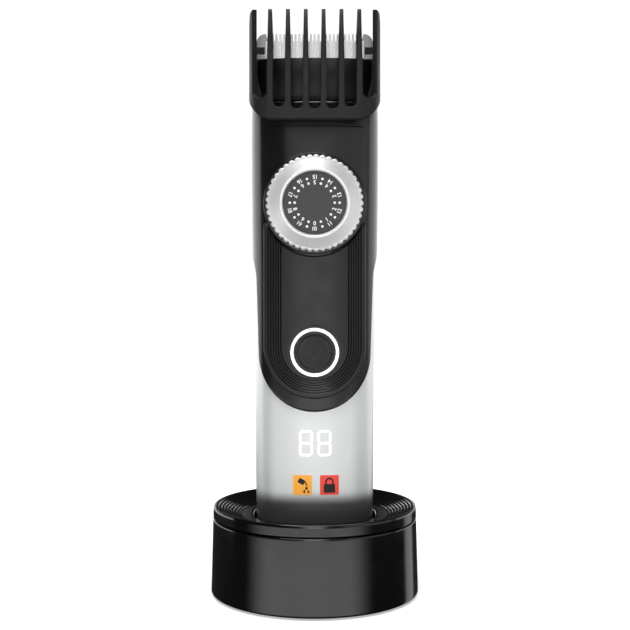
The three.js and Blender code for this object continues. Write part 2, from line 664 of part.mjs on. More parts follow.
// The plate whose long grooves give grip, under the thumb.
function gripPlate() {
  const from = TAIL_THICK + GAP;
  const outer = loft(LOWER_LEVELS, [PLATE_BOTTOM_Z - 1, PLATE_TOP_Z], from + PLATE_RISE);
  const inner = loft(LOWER_LEVELS, [PLATE_BOTTOM_Z - 2, PLATE_TOP_Z + 2], from);
  const outline = slabY(tongueOutline(PLATE_HALF_W, PLATE_BOTTOM_Z, PLATE_TOP_Z), [-24, -8]);
  const dialSpace = rod(DIAL_R + 1.2, 0, DIAL_Z, [-25, -5], ROUND);
  const buttonHole = rod(LIGHT_R + 0.3, 0, BUTTON_Z, [-25, -5], MEDIUM_ROUND);
  const plate = cut(outer.intersect(outline), [inner, dialSpace, buttonHole]);
  const grooves = [];
  for (let i = 0; i < GROOVES; i += 1) {
    const x = 10.8 + i * GROOVE_PITCH;
    const outerFace = lerpLevels(LOWER_LEVELS, 95);
    const depth = outerFace[2] + from + PLATE_RISE;
    const y = -depth * (1 - (x / (outerFace[1] + from + PLATE_RISE)) ** BODY_POWER) ** (1 / BODY_POWER);
    [-1, 1].forEach((side) => {
      const centre = side * x;
      grooves.push(box([centre - 0.15, centre + 0.15], [y - 2, y + 0.3], [80, 108]));
    });
  }
  return cut(plate, grooves);
}

function powerButton() {
  return turnedAlongY([
    [0, BUTTON_FRONT_Y + 0.4],
    [BUTTON_R - 1.4, BUTTON_FRONT_Y + 0.3],
    [BUTTON_R - 0.5, BUTTON_FRONT_Y],
    [BUTTON_R, BUTTON_FRONT_Y + 0.5],
    [BUTTON_R, BUTTON_FRONT_Y + 2.6],
    [2, BUTTON_FRONT_Y + 2.6],
    [2, -13.4],
    [0, -13.4],
  ], 0, BUTTON_Z, MEDIUM_ROUND);
}

function lightRing() {
  return turnedAlongY([
    [LIGHT_R - 0.9, BUTTON_FRONT_Y - 0.1],
    [LIGHT_R - 0.1, BUTTON_FRONT_Y - 0.1],
    [LIGHT_R, BUTTON_FRONT_Y],
    [LIGHT_R, -14],
    [LIGHT_R - 0.9, -14],
    [LIGHT_R - 0.9, BUTTON_FRONT_Y - 0.1],
  ], 0, BUTTON_Z, MEDIUM_ROUND);
}

function addCovers() {
  add('front_cover', BLACK_GLOSS, frontCover());
  add('rear_cover', BLACK_GLOSS, rearCover());
  REAR_SCREW_Z.forEach((z, i) => add(`rear_screw_${i + 1}`, ZINC, rearScrew(z)));
  add('grip_plate', BLACK_SATIN, gripPlate());
  add('light_ring', LIGHT_WHITE, lightRing());
  add('power_button', BLACK_SATIN, powerButton());
}

// ---------------------------------------------------------------- dial, gears and rack
function involute(angle) {
  return Math.tan(angle) - angle;
}

// A spur gear's outline with involute flanks. The first tooth points along the angle start.
function gearShape(teeth, size, start, boreR) {
  const pitchR = (teeth * size) / 2;
  const baseR = pitchR * Math.cos(PRESSURE_ANGLE);
  const rootR = pitchR - 1.1 * size;
  const tipR = pitchR + 0.8 * size;
  const footR = Math.max(rootR, baseR);
  const halfPitch = ((Math.PI * size) / 2 - TOOTH_SLACK) / 2 / pitchR;
  const half = (r) => halfPitch + involute(PRESSURE_ANGLE) - involute(Math.acos(Math.min(1, baseR / r)));
  const flank = [footR, (footR + tipR) / 2, tipR].map((r) => [r, half(r)]);
  if (rootR < footR) flank.unshift([rootR, half(footR)]);
  const points = [];
  for (let tooth = 0; tooth < teeth; tooth += 1) {
    const centre = start + (tooth * 2 * Math.PI) / teeth;
    flank.forEach(([r, a]) => points.push([r * Math.cos(centre - a), r * Math.sin(centre - a)]));
    for (const [r, a] of [...flank].reverse()) {
      points.push([r * Math.cos(centre + a), r * Math.sin(centre + a)]);
    }
  }
  const shape = shapeOf(points);
  if (boreR > 0) shape.holes.push(new THREE.Path().absarc(0, 0, boreR, 0, 2 * Math.PI, true));
  return shape;
}

// An outline with rounded lobes around a circle, as a knurled rim or a click wheel.
function lobedShape(lobes, outerR, depth, pointsPerLobe) {
  const count = lobes * pointsPerLobe;
  const points = [];
  for (let i = 0; i < count; i += 1) {
    const phase = Math.abs(Math.cos((Math.PI * i) / pointsPerLobe));
    const radius = outerR - depth * phase ** 3;
    const angle = (2 * Math.PI * i) / count;
    points.push([radius * Math.sin(angle), -radius * Math.cos(angle)]);
  }
  return shapeOf(points);
}

function dialRing() {
  const rim = slabY(lobedShape(DIAL_LOBES, DIAL_R, 0.4, 3), [DIAL_BACK_Y - 1.9, DIAL_BACK_Y]);
  const cone = turnedAlongY([
    [DIAL_DISC_R + 0.2, DIAL_BACK_Y - 1.8],
    [DIAL_R - 0.7, DIAL_BACK_Y - 1.8],
    [DIAL_R - 0.7, DIAL_BACK_Y - 2.2],
    [DIAL_DISC_R + 0.7, DIAL_FRONT_Y],
    [DIAL_DISC_R + 0.2, DIAL_FRONT_Y + 0.3],
    [DIAL_DISC_R + 0.2, DIAL_BACK_Y - 1.8],
  ], 0, 0);
  const seat = rod(DIAL_DISC_R + 0.2, 0, 0, [DIAL_FRONT_Y - 1, DIAL_BACK_Y + 1], ROUND);
  return rim.add(cone).subtract(seat).translate(0, 0, DIAL_Z);
}

function dialDisc() {
  return rod(DIAL_DISC_R - 0.1, 0, DIAL_Z, [DIAL_FRONT_Y + 0.6, DIAL_BACK_Y - 1.6], ROUND);
}

// The dial's hub: flange, shaft, click wheel and the gear that drives the comb.
function dialHub() {
  const flange = rod(DIAL_DISC_R - 0.2, 0, 0, [DIAL_BACK_Y - 1.3, DIAL_BACK_Y], MEDIUM_ROUND);
  const shaft = rod(3.6, 0, 0, [DIAL_BACK_Y - 0.1, GEAR_FRONT_Y + 0.1], 20);
  const grooveY = CLIP_Y.map((y, i) => y + (i - 0.5) * 2 * 0.2);
  const groove = rod(6, 0, 0, grooveY).subtract(rod(3, 0, 0, [-25, 0]));
  const clickWheel = slabY(lobedShape(DIAL_CLICKS, 5.2, 0.5, 3), [-15.4, GEAR_FRONT_Y - 0.6]);
  const gear = slabY(gearShape(HUB_TEETH, GEAR_MODULE, Math.PI / 2, 0), [GEAR_FRONT_Y, GEAR_BACK_Y]);
  return unite([cut(shaft, [groove]), flange, clickWheel, gear]).translate(0, 0, DIAL_Z);
}

function dialClip() {
  const ring = rod(5.4, 0, DIAL_Z, CLIP_Y, 24);
  const opening = box([-2.4, 2.4], [-20, -10], [DIAL_Z - 8, DIAL_Z]);
  return cut(ring, [rod(3.3, 0, DIAL_Z, [-20, -10], 20), opening]);
}

// A leaf that clicks over the wheel on the hub, fixed to the cover beside the dial.
function detentSpring() {
  const leaf = shapeOf([
    [-10.9, DIAL_Z - 6], [-10.3, DIAL_Z - 6], [-8.4, DIAL_Z - 1.6], [-5.6, DIAL_Z],
    [-8.4, DIAL_Z + 1.6], [-9.2, DIAL_Z + 5], [-9.8, DIAL_Z + 5], [-9, DIAL_Z + 1.2],
    [-6.8, DIAL_Z], [-9, DIAL_Z - 1.2],
  ]);
  return slabY(leaf, [-15.4, -14.6]);
}

// The large wheel meshes with the hub's gear and its small pinion lifts the rack.
function reductionGear() {
  const halfStep = Math.PI / WHEEL_TEETH;
  const wheelShape = gearShape(WHEEL_TEETH, GEAR_MODULE, -Math.PI / 2 + halfStep, 1.25);
  const wheel = slabY(wheelShape, [GEAR_FRONT_Y, GEAR_BACK_Y]);
  const pinionSize = RACK_PITCH / Math.PI;
  const pinion = slabY(gearShape(PINION_TEETH, pinionSize, 0, 1.25), [GEAR_BACK_Y - 0.1, RACK_BACK_Y]);
  return wheel.add(pinion).translate(0, 0, WHEEL_Z);
}

function rackShape() {
  const size = RACK_PITCH / Math.PI;
  const pitchX = (PINION_TEETH * size) / 2;
  const [tipX, rootX, backX] = [pitchX - 0.8 * size, pitchX + 1.1 * size, 7.4];
  const halfPitch = (RACK_PITCH / 2 - TOOTH_SLACK) / 2;
  const slope = Math.tan(PRESSURE_ANGLE);
  const halfTip = halfPitch - 0.8 * size * slope;
  const halfRoot = halfPitch + 1.1 * size * slope;
  const points = [[backX, RACK_Z[0]], [backX, RACK_Z[1]], [rootX, RACK_Z[1]]];
  const first = Math.floor((RACK_Z[1] - WHEEL_Z - halfRoot) / RACK_PITCH - 0.5);
  for (let tooth = first; ; tooth -= 1) {
    const z = WHEEL_Z + (tooth + 0.5) * RACK_PITCH;
    if (z - halfRoot < RACK_Z[0]) break;
    points.push([rootX, z + halfRoot], [tipX, z + halfTip], [tipX, z - halfTip], [rootX, z - halfRoot]);
  }
  points.push([rootX, RACK_Z[0]]);
  return shapeOf(points);
}

// Rack, cross member and the two prongs that carry the comb.
function combCarriage() {
  const rack = slabY(rackShape(), [GEAR_BACK_Y + GAP, RACK_BACK_Y]);
  const spine = box([4.6, 7.4], [RACK_BACK_Y - 0.1, CARRIAGE_BACK_Y], RACK_Z);
  const cross = box([-PRONG_X[1], PRONG_X[1]], [RACK_BACK_Y + GAP, CARRIAGE_BACK_Y], CROSS_Z);
  const arms = [-1, 1].flatMap((side) => {
    const x = [side * PRONG_X[0], side * PRONG_X[1]].sort((a, b) => a - b);
    const arm = box(x, [RACK_BACK_Y + GAP, PRONG_Y[1]], CROSS_Z);
    return [arm, box(x, PRONG_Y, [CROSS_Z[0], PRONG_TOP_Z])];
  });
  return unite([rack, spine, cross, ...arms]);
}

function addDialDrive() {
  add('dial_ring', DIAL_METAL, dialRing());
  add('dial_disc', DISC_GREY, dialDisc());
  add('dial_hub', NYLON, dialHub());
  add('dial_clip', STEEL, dialClip());
  add('detent_spring', STEEL, detentSpring());
  add('reduction_gear', NYLON, reductionGear());
  add('comb_carriage', NYLON, combCarriage());
}

// ---------------------------------------------------------------- guide comb

// The front outline of the comb's bridge, with the round bottoms of the slots cut out of its top.
function bridgeShape() {
  const corner = 7;
  const top = 162;
  const shape = new THREE.Shape();
  shape.moveTo(-COMB_HALF_W, top);
  shape.lineTo(-COMB_HALF_W, COMB_BOTTOM_Z + corner);
  shape.absarc(corner - COMB_HALF_W, COMB_BOTTOM_Z + corner, corner, Math.PI, 1.5 * Math.PI, false);
  shape.absarc(COMB_HALF_W - corner, COMB_BOTTOM_Z + corner, corner, 1.5 * Math.PI, 2 * Math.PI, false);
  shape.lineTo(COMB_HALF_W, top);
  const slotR = (FIN_PITCH - FIN_THICK) / 2;
  for (let slot = 3; slot >= -3; slot -= 1) {
    const x = slot * FIN_PITCH;
    const bottom = (Math.abs(slot) === 3 ? SLOT_BOTTOM_Z + 2.6 : SLOT_BOTTOM_Z) + slotR;
    if (bottom >= top) shape.lineTo(x, top - 0.9);
    else shape.absarc(x, bottom, slotR, 0, Math.PI, true);
    shape.lineTo(x - slotR, top);
  }
  return shape;
}

function combLevels() {
  const halfDepth = -COMB_FRONT_Y;
  return [
    [150, COMB_HALF_W, halfDepth, 0],
    [186, COMB_HALF_W, halfDepth, 0],
    [195, COMB_HALF_W - 1, halfDepth, 0],
  ];
}

function guideComb() {
  const outer = loft(combLevels(), [150, 194], 0, COMB_POWER);
  const inner = unite([
    loft(combLevels(), [149.9, COMB_SKIRT_TOP_Z], -COMB_SKIRT_WALL, COMB_POWER),
    loft(combLevels(), [COMB_SKIRT_TOP_Z - 0.1, 194.1], -COMB_WALL, COMB_POWER),
  ]);
  const wall = outer.subtract(inner);
  const bridge = wall.intersect(slabY(bridgeShape(), [-24, -9.8], 6));
  const fins = [];
  for (let i = 0; i < 6; i += 1) {
    const x = (i - 2.5) * FIN_PITCH;
    fins.push(slabX(shapeOf(FIN_PROFILE), [x - FIN_THICK / 2, x + FIN_THICK / 2]));
  }
  const side = wall.intersect(slabX(shapeOf(SIDE_PROFILE), [-24, 24]));
  const sides = side.subtract(box([-19.6, 19.6], [-24, 24], [140, 200]));
  const lugs = [-1, 1].flatMap((direction) => {
    const x = [direction * 15.5, direction * (COMB_HALF_W - COMB_WALL + 0.4)].sort((a, b) => a - b);
    const roofZ = [PRONG_TOP_Z + GAP, PRONG_TOP_Z + 2.3];
    const ribs = [[PRONG_Y[0] - 1.2, PRONG_Y[0] - GAP], [PRONG_Y[1] + GAP, PRONG_Y[1] + 1.2]];
    return [
      box(x, [ribs[0][0], ribs[1][1]], roofZ),
      ...ribs.map((y) => box(x, y, [165.5, roofZ[1]])),
      box(x, ribs[1], [roofZ[0], COMB_WEB_TOP_Z]),
    ];
  });
  const gussets = [-1, 1].map((side) => slabY(gussetShape(side), GUSSET_Y));
  return unite([bridge, ...fins, sides, ...lugs, ...gussets]);
}

// The web between the bridge and an outer tine, seen from the front.
function gussetShape(side) {
  const points = [[16.9, 161], [20, 161], [20, 174], [19, 172], [17.8, 166], [17.2, 163]];
  return shapeOf(points.map(([x, z]) => [side * x, z]));
}

// ---------------------------------------------------------------- head, blades and motor

function headHousing() {
  const outer = loft(HEAD_LEVELS, [161.3, 177]);
  const cavity = box([-9.5, 9.5], [-12.8, 8.2], [160, 169]);
  const bladeWell = box([-WELL_X, WELL_X], [-9.5, FIXED_Y[1] + GAP], [169.5, 180]);
  const forkSlot = box([-6.2, 6.2], [-10.3, -5.2], [165, 180]);
  const screwHoles = BLADE_SCREW_X.map((x) => rod(1.1, x, BLADE_SCREW_Z, [-8, -1]));
  const channels = [-1, 1].flatMap((side) => {
    const inside = [side * (PRONG_X[0] - 0.5), side * (PRONG_X[1] + 0.5)].sort((a, b) => a - b);
    const open = [side * (PRONG_X[0] - 0.5), side * 24].sort((a, b) => a - b);
    return [box(inside, CHANNEL_Y, [160, 170]), box(open, CHANNEL_Y, [164.3, 180])];
  });
  const ledge = box([-25, 25], [-25, FIXED_Y[1] + GAP], [HEAD_LEDGE_Z, 180]);
  return cut(outer, [cavity, bladeWell, forkSlot, ledge, ...channels, ...screwHoles]);
}

// A toothed edge from -halfW to halfW, as points from left to right.
function toothedEdge(halfW, tipZ) {
  const count = Math.floor((2 * halfW) / BLADE_PITCH);
  const start = (-count * BLADE_PITCH) / 2;
  const slot = BLADE_PITCH * 0.2;
  const points = [];
  for (let i = 0; i < count; i += 1) {
    const left = start + i * BLADE_PITCH;
    const right = left + BLADE_PITCH;
    points.push([left + slot, tipZ - TOOTH_LENGTH], [left + slot * 1.4, tipZ]);
    points.push([right - slot * 1.4, tipZ], [right - slot, tipZ - TOOTH_LENGTH]);
  }
  return points;
}

function movingCutter() {
  const outline = [
    [CUTTER_HALF_W, CUTTER_SHOULDER_Z], [6, CUTTER_SHOULDER_Z], [6, 170.4],
    [-6, 170.4], [-6, CUTTER_SHOULDER_Z], [-CUTTER_HALF_W, CUTTER_SHOULDER_Z],
    [-CUTTER_HALF_W, CUTTER_TIP_Z - TOOTH_LENGTH],
    ...toothedEdge(CUTTER_HALF_W - 0.3, CUTTER_TIP_Z),
    [CUTTER_HALF_W, CUTTER_TIP_Z - TOOTH_LENGTH],
  ];
  return slabY(shapeOf(outline), CUTTER_Y);
}

function fixedBlade() {
  const ear = 3;
  const footZ = 170.5;
  const archTopZ = 175.2;
  const foot = [
    [FIXED_HALF_W, FIXED_SHOULDER_Z], [12.8, FIXED_SHOULDER_Z], [12.8, footZ],
    [6.2, footZ], [6.2, archTopZ], [-6.2, archTopZ], [-6.2, footZ],
  ];
  const shape = new THREE.Shape();
  const toothHalfW = CUTTER_HALF_W - 0.3;
  shape.moveTo(-foot[1][0], footZ);
  shape.lineTo(-foot[1][0], FIXED_SHOULDER_Z);
  shape.lineTo(-FIXED_HALF_W, FIXED_SHOULDER_Z);
  shape.lineTo(-FIXED_HALF_W, FIXED_TIP_Z - ear);
  shape.absarc(ear - FIXED_HALF_W, FIXED_TIP_Z - ear, ear, Math.PI, Math.PI / 2, true);
  toothedEdge(toothHalfW, FIXED_TIP_Z).forEach(([x, z]) => shape.lineTo(x, z));
  shape.absarc(FIXED_HALF_W - ear, FIXED_TIP_Z - ear, ear, Math.PI / 2, 0, true);
  foot.forEach(([x, z]) => shape.lineTo(x, z));
  const earSlots = [-1, 1].map((side) => {
    const x = [side * 16.4, side * 22].sort((a, b) => a - b);
    return box(x, [-9, -5], EAR_SLOT_Z);
  });
  const screwHoles = BLADE_SCREW_X.map((x) => rod(1.2, x, BLADE_SCREW_Z, [-9, -5]));
  return cut(slabY(shape, FIXED_Y, 4), [...earSlots, ...screwHoles]);
}

function bladeScrew(x) {
  return rod(0.85, x, BLADE_SCREW_Z, [-8, -2]).add(rod(1.7, x, BLADE_SCREW_Z, [-8.6, FIXED_Y[0] - GAP]));
}

// A bent wire that presses the cutter onto the blade.
function cutterSpring() {
  const y = CUTTER_Y[0] - GAP - 0.35;
  const path = new THREE.CatmullRomCurve3([
    new THREE.Vector3(-5.2, y, 171), new THREE.Vector3(-3.6, y, 175.5), new THREE.Vector3(0, y, 174),
    new THREE.Vector3(3.6, y, 175.5), new THREE.Vector3(5.2, y, 171),
  ]);
  const wire = new THREE.Shape().absarc(0, 0, 0.35, 0, 2 * Math.PI, false);
  return solid(new THREE.ExtrudeGeometry(wire, { steps: 20, extrudePath: path, curveSegments: 3 }));
}

function motorCan() {
  const can = post(MOTOR_R, 0, MOTOR_Y, MOTOR_Z, 32);
  const flats = box([-20, 20], [MOTOR_Y - MOTOR_HALF_T, MOTOR_Y + MOTOR_HALF_T], [100, 170]);
  const nose = post(3, 0, MOTOR_Y, [MOTOR_Z[1] - 1, MOTOR_Z[1] + 2], 20);
  const bore = post(1.35, 0, MOTOR_Y, [MOTOR_Z[1] - 6, MOTOR_Z[1] + 3]);
  return cut(can.intersect(flats).add(nose), [bore]);
}

function motorMount() {
  const plate = box([-13.5, 13.5], [MOTOR_Y - 9, MOTOR_Y + 9], [MOTOR_Z[1] + GAP, MOTOR_Z[1] + 2]);
  const legs = [-1, 1].map((side) => {
    const x = [side * 11.2, side * 13].sort((a, b) => a - b);
    return box(x, [MOTOR_Y - 5, MOTOR_Y + 5], [MOTOR_Z[0] + 4, MOTOR_Z[1] + 1]);
  });
  return cut(unite([plate, ...legs]), [post(3.4, 0, MOTOR_Y, [140, 160], 20)]);
}

// Motor shaft with the off-centre pin that swings the fork.
function eccentricCam() {
  const shaft = post(1, 0, MOTOR_Y, [MOTOR_Z[1] - 5, 153]);
  const disc = post(3.4, 0, MOTOR_Y, [152.4, 156.2], 20);
  const pin = post(PIN_R, 0, MOTOR_Y - ECCENTRICITY, [156, 163.2], 12);
  return unite([shaft, disc, pin]);
}

// The fork stands round the pin with room for the pin's circle and its own stroke.
function driveFork() {
  const slotHalf = ECCENTRICITY + PIN_R + CUTTER_TRAVEL + 0.15;
  const bridge = box([-4.5, 4.5], [-7.2, 6.5], [165.2, 168.2]);
  const tab = box([-4.5, 4.5], [-7.4, -5.7], [165.2, 175]);
  const tines = [-1, 1].map((side) => {
    const x = [side * slotHalf, side * 4.5].sort((a, b) => a - b);
    return box(x, [-0.5, 6.5], [160.3, 166]);
  });
  return unite([bridge, tab, ...tines]);
}

function addHead() {
  add('head_housing', BLACK_GLOSS, headHousing());
  add('fixed_blade', STEEL, fixedBlade());
  add('moving_cutter', STEEL, movingCutter());
  add('drive_fork', NYLON, driveFork());
  BLADE_SCREW_X.forEach((x, i) => add(`blade_screw_${i + 1}`, ZINC, bladeScrew(x)));
  add('cutter_spring', STEEL, cutterSpring());
  add('motor_can', ZINC, motorCan());
  add('motor_mount', BLACK_SATIN, motorMount());
  add('eccentric_cam', STEEL, eccentricCam());
  add('guide_comb', BLACK_SATIN, guideComb());
}

addDock();
addLowerHousing();
addCovers();
addDialDrive();
addHead();

export default trimmerAndDock;
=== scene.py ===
"""The looks of a beard trimmer standing in its charging dock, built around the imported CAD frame.

Shapes are worked out in millimetres, in the frame of the CAD model: +Z up, the dial side faces -Y.
"""

import json
import math

import bmesh
import bpy
import numpy as np
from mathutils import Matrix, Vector


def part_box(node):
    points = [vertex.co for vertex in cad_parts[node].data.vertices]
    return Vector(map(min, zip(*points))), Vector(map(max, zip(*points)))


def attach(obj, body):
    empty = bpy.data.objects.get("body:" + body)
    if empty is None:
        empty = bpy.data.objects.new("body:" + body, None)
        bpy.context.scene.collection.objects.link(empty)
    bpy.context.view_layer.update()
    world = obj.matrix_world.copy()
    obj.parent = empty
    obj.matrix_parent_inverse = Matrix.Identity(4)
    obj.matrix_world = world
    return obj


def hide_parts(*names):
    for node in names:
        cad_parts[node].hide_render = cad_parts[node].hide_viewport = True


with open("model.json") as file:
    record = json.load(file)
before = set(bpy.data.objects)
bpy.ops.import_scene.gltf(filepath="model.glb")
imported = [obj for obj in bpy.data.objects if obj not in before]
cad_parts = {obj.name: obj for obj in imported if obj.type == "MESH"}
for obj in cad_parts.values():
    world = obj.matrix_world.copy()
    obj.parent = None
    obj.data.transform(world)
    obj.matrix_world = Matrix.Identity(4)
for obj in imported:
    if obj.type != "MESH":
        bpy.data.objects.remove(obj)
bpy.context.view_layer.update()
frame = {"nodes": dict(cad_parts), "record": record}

MM = 0.001


def node_box(node):
    """The lowest and highest corners of a CAD node, in millimetres."""
    low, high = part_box(node)
    return np.array(low) / MM, np.array(high) / MM


# ---------------------------------------------------------------- driving dimensions, mm
GAP = 0.3                      # between neighbouring pieces
TRIMMER_FOOT = node_box("bottom_cap")[0][2]
HOUSING_TOP = 111.7
COVER_BOTTOM, COVER_TOP = 112.0, node_box("front_cover")[1][2]
SPLIT_Y = 2.0                  # the seam between the front and rear covers
TAIL_BOTTOM = node_box("front_cover")[0][2]
TAIL_HALF_W, TAIL_TOP_HALF_W, TAIL_TOP_Z = 18.4, 19.2, 104.5
PLATE_HALF_W = node_box("grip_plate")[1][0]
PLATE_BOTTOM, PLATE_TOP = node_box("grip_plate")[0][2], node_box("grip_plate")[1][2]
PLATE_RISE = 2.4               # of the grip plate above the silver housing
DIAL_Z = 128.1
DIAL_R = 15.4
DIAL_BACK, DIAL_FRONT = node_box("dial_ring")[1][1], node_box("dial_ring")[0][1]
DISC_FRONT = node_box("dial_disc")[0][1]
DIAL_LOBES = 45
BUTTON_Z = 80.8
BUTTON_R = node_box("power_button")[1][0]
BUTTON_FRONT = node_box("power_button")[0][1]
LIGHT_R = node_box("light_ring")[1][0]
COMB_HALF_W = node_box("guide_comb")[1][0]
COMB_BOTTOM, COMB_TIP = node_box("guide_comb")[0][2], node_box("guide_comb")[1][2]
COMB_FRONT = -21.2
COMB_WALL = 1.55
FIN_PITCH = 5.67
DOCK_BASE_R = node_box("dock_shell")[1][0]
DOCK_SKIRT = node_box("dock_shell")[0][2]
DOCK_SEAM = 25.0
DOCK_TOP = node_box("dock_dish")[1][2]
DOCK_RIM_R = 33.6
DISH_Z, DISH_R = 26.0, 24.9
DISH_STEPS = 8

# Sections of the body: height, half width, half depth, and the y of the middle.
LOWER_LEVELS = [
    (9.95, 18.7, 15.8, 0), (35, 19.4, 16.4, 0), (60, 19.6, 16.8, 0), (112, 19.65, 17.4, 0),
    (128, 19.65, 17.6, 0),
]
COVER_LEVELS = [
    (60, 20.6, 18.1, 0), (112, 20.7, 18.7, 0), (128, 20.9, 18.9, 0), (144, 21, 18.8, 0),
    (154, 21, 18.3, 0), (161, 20.9, 17.2, 0),
]
BODY_POWER = 2.8               # squareness of the body's sections
COMB_LEVELS = [(150, COMB_HALF_W, -COMB_FRONT, 0), (195, COMB_HALF_W, -COMB_FRONT, 0)]
COMB_POWER = 6.0


# ---------------------------------------------------------------- sections
def grown(levels, amount):
    """The same sections, larger by amount all round."""
    return [(z, half_w + amount, half_d + amount, middle) for z, half_w, half_d, middle in levels]


def section(levels, z):
    """Half width, half depth and middle y at the heights z, on a smooth curve through the levels."""
    table = np.array(levels, float)
    heights, sizes = table[:, 0], table[:, 1:]
    slopes = np.gradient(sizes, heights, axis=0)
    z = np.asarray(z, float)
    i = np.clip(np.searchsorted(heights, z) - 1, 0, len(heights) - 2)
    span = (heights[i + 1] - heights[i])[..., None]
    t = np.clip((z[..., None] - heights[i][..., None]) / span, 0, 1)
    start, end = sizes[i], sizes[i + 1]
    out = (2 * t**3 - 3 * t**2 + 1) * start + (t**3 - 2 * t**2 + t) * span * slopes[i]
    out = out + (3 * t**2 - 2 * t**3) * end + (t**3 - t**2) * span * slopes[i + 1]
    return out[..., 0], out[..., 1], out[..., 2]


class Section:
    """A superellipse outline, measured by the distance along it from the middle of the front."""

    def __init__(self, levels, power):
        self.levels = levels
        self.power = power
        turn = np.linspace(0, 2, 4001)
        quarter = np.minimum(np.floor(turn), 1)
        self.angle = math.pi / 2 * (quarter + (1 - np.cos(math.pi * (turn - quarter))) / 2)
        mean = np.mean(np.array(levels)[:, 1:3], axis=0)
        x, y = self.unit(self.angle)
        steps = np.hypot(np.diff(x * mean[0]), np.diff(y * mean[1]))
        self.along = np.concatenate([[0], np.cumsum(steps)])
        self.length = self.along[-1]

    def unit(self, angle):
        """Where an angle from the front lies on the outline of half width 1 and half depth 1."""
        sine, cosine = np.abs(np.sin(angle)), np.cos(angle)
        x = np.where(sine < 1e-9, 0, sine) ** (2 / self.power)
        y = -np.sign(cosine) * np.where(np.abs(cosine) < 1e-9, 0, np.abs(cosine)) ** (2 / self.power)
        return x, y

    def at_x(self, x, z):
        """The distance along at which the front of the outline has this x at height z."""
        half_w = section(self.levels, z)[0]
        ratio = np.clip(np.abs(x) / half_w, 0, 1) ** (self.power / 2)
        return np.sign(x) * np.interp(np.arcsin(ratio), self.angle, self.along)

    def at_y(self, y, z):
        """The distance along at which the right side of the outline has this y at height z."""
        _, half_d, middle = section(self.levels, z)
        depth = (y - middle) / half_d
        cosine = -np.sign(depth) * np.abs(depth) ** (self.power / 2)
        return np.interp(np.arccos(np.clip(cosine, -1, 1)), self.angle, self.along)

    def points(self, s, z, grow=0.0):
        """Points at the distances s and heights z, moved out of the surface by grow."""
        s, z, grow = np.broadcast_arrays(np.asarray(s, float), np.asarray(z, float), grow)
        half_w, half_d, middle = section(self.levels, z)
        x, y = self.unit(np.interp(np.abs(s), self.along, self.angle))
        normal_x = x ** (self.power - 1) / half_w
        normal_y = np.sign(y) * np.abs(y) ** (self.power - 1) / half_d
        length = np.hypot(normal_x, normal_y)
        side = np.where(s < 0, -1.0, 1.0)
        out_x = side * (x * half_w + grow * normal_x / length)
        out_y = y * half_d + middle + grow * normal_y / length
        return np.stack([out_x, out_y, z], axis=-1)

    def front(self, x, z, grow=0.0):
        """Points of the front at the places x and heights z, moved out of the surface by grow."""
        return self.points(self.at_x(x, z), z, grow)

    def ring(self, z, grow=0.0, count=160):
        """One closed loop round the section at height z."""
        s = np.linspace(-self.length, self.length, count, endpoint=False)
        return self.points(s, z, grow)


HOUSING = Section(LOWER_LEVELS, BODY_POWER)
COVER = Section(COVER_LEVELS, BODY_POWER)
PLATE = Section(grown(LOWER_LEVELS, PLATE_RISE), BODY_POWER)
COMB = Section(COMB_LEVELS, COMB_POWER)


# ---------------------------------------------------------------- profiles and solids
def rounded(corners, steps=5, closed=False):
    """A profile through the corners (a, b, radius), with arcs at the corners that have a radius."""
    corners = [(*corner, 0.0)[:3] for corner in corners]
    count = len(corners)
    out = []
    for i, (a, b, radius) in enumerate(corners):
        if radius == 0 or (not closed and i in (0, count - 1)):
            out.append((a, b))
            continue
        here = np.array([a, b])
        before = np.array(corners[i - 1][:2]) - here
        after = np.array(corners[(i + 1) % count][:2]) - here
        reach = min(np.linalg.norm(before), np.linalg.norm(after))
        before, after = before / np.linalg.norm(before), after / np.linalg.norm(after)
        half = math.acos(np.clip(before @ after, -1, 1)) / 2
        tangent = min(radius / math.tan(half), reach * 0.49)
        radius = tangent * math.tan(half)
        centre = here + (before + after) / np.linalg.norm(before + after) * radius / math.sin(half)
        start = here + before * tangent - centre
        end = here + after * tangent - centre
        turn = math.acos(np.clip(start @ end / radius**2, -1, 1))
        for k in range(steps + 1):
            share = k / steps
            mix = math.sin((1 - share) * turn) * start + math.sin(share * turn) * end
            out.append(tuple(centre + mix / math.sin(turn)))
    return out


def ring_faces(rings, count, closed):
    """Faces between loops of count points each; closed joins the last loop to the first."""
    faces = []
    for r in range(rings if closed else rings - 1):
        low, high = r * count, (r + 1) % rings * count
        for i in range(count):
            j = (i + 1) % count
            faces.append((low + i, low + j, high + j, high + i))
    if not closed:
        faces.append(tuple(reversed(range(count))))
        faces.append(tuple((rings - 1) * count + i for i in range(count)))
    return faces


def loop_solid(rings, closed=False):
    """A solid whose skin runs through loops of points; its two ends are filled unless it is closed."""
    return np.concatenate(rings), ring_faces(len(rings), len(rings[0]), closed)


def circle(radius, height, count, wobble=None):
    """A circle round Z. wobble is a factor on the radius at each angle."""
    angle = np.linspace(0, 2 * math.pi, count, endpoint=False)
    radii = radius * (np.ones(count) if wobble is None else wobble)
    return np.stack([radii * np.cos(angle), radii * np.sin(angle), np.full(count, height)], axis=-1)


def turned(profile, closed=False, count=128, at=(0, 0)):
    """A solid turned about the Z axis through at, from a profile of (radius, z)."""
    rings = [circle(radius, z, count) + (at[0], at[1], 0) for radius, z in profile]
    return loop_solid(rings, closed)


def turned_along_y(profile, z, closed=False, count=128, x=0.0):
    """A solid turned about the line along Y through (x, z), from a profile of (radius, y)."""
    points, faces = turned(profile, closed, count)
    return np.stack([points[:, 0] + x, points[:, 2], points[:, 1] + z], axis=-1), faces


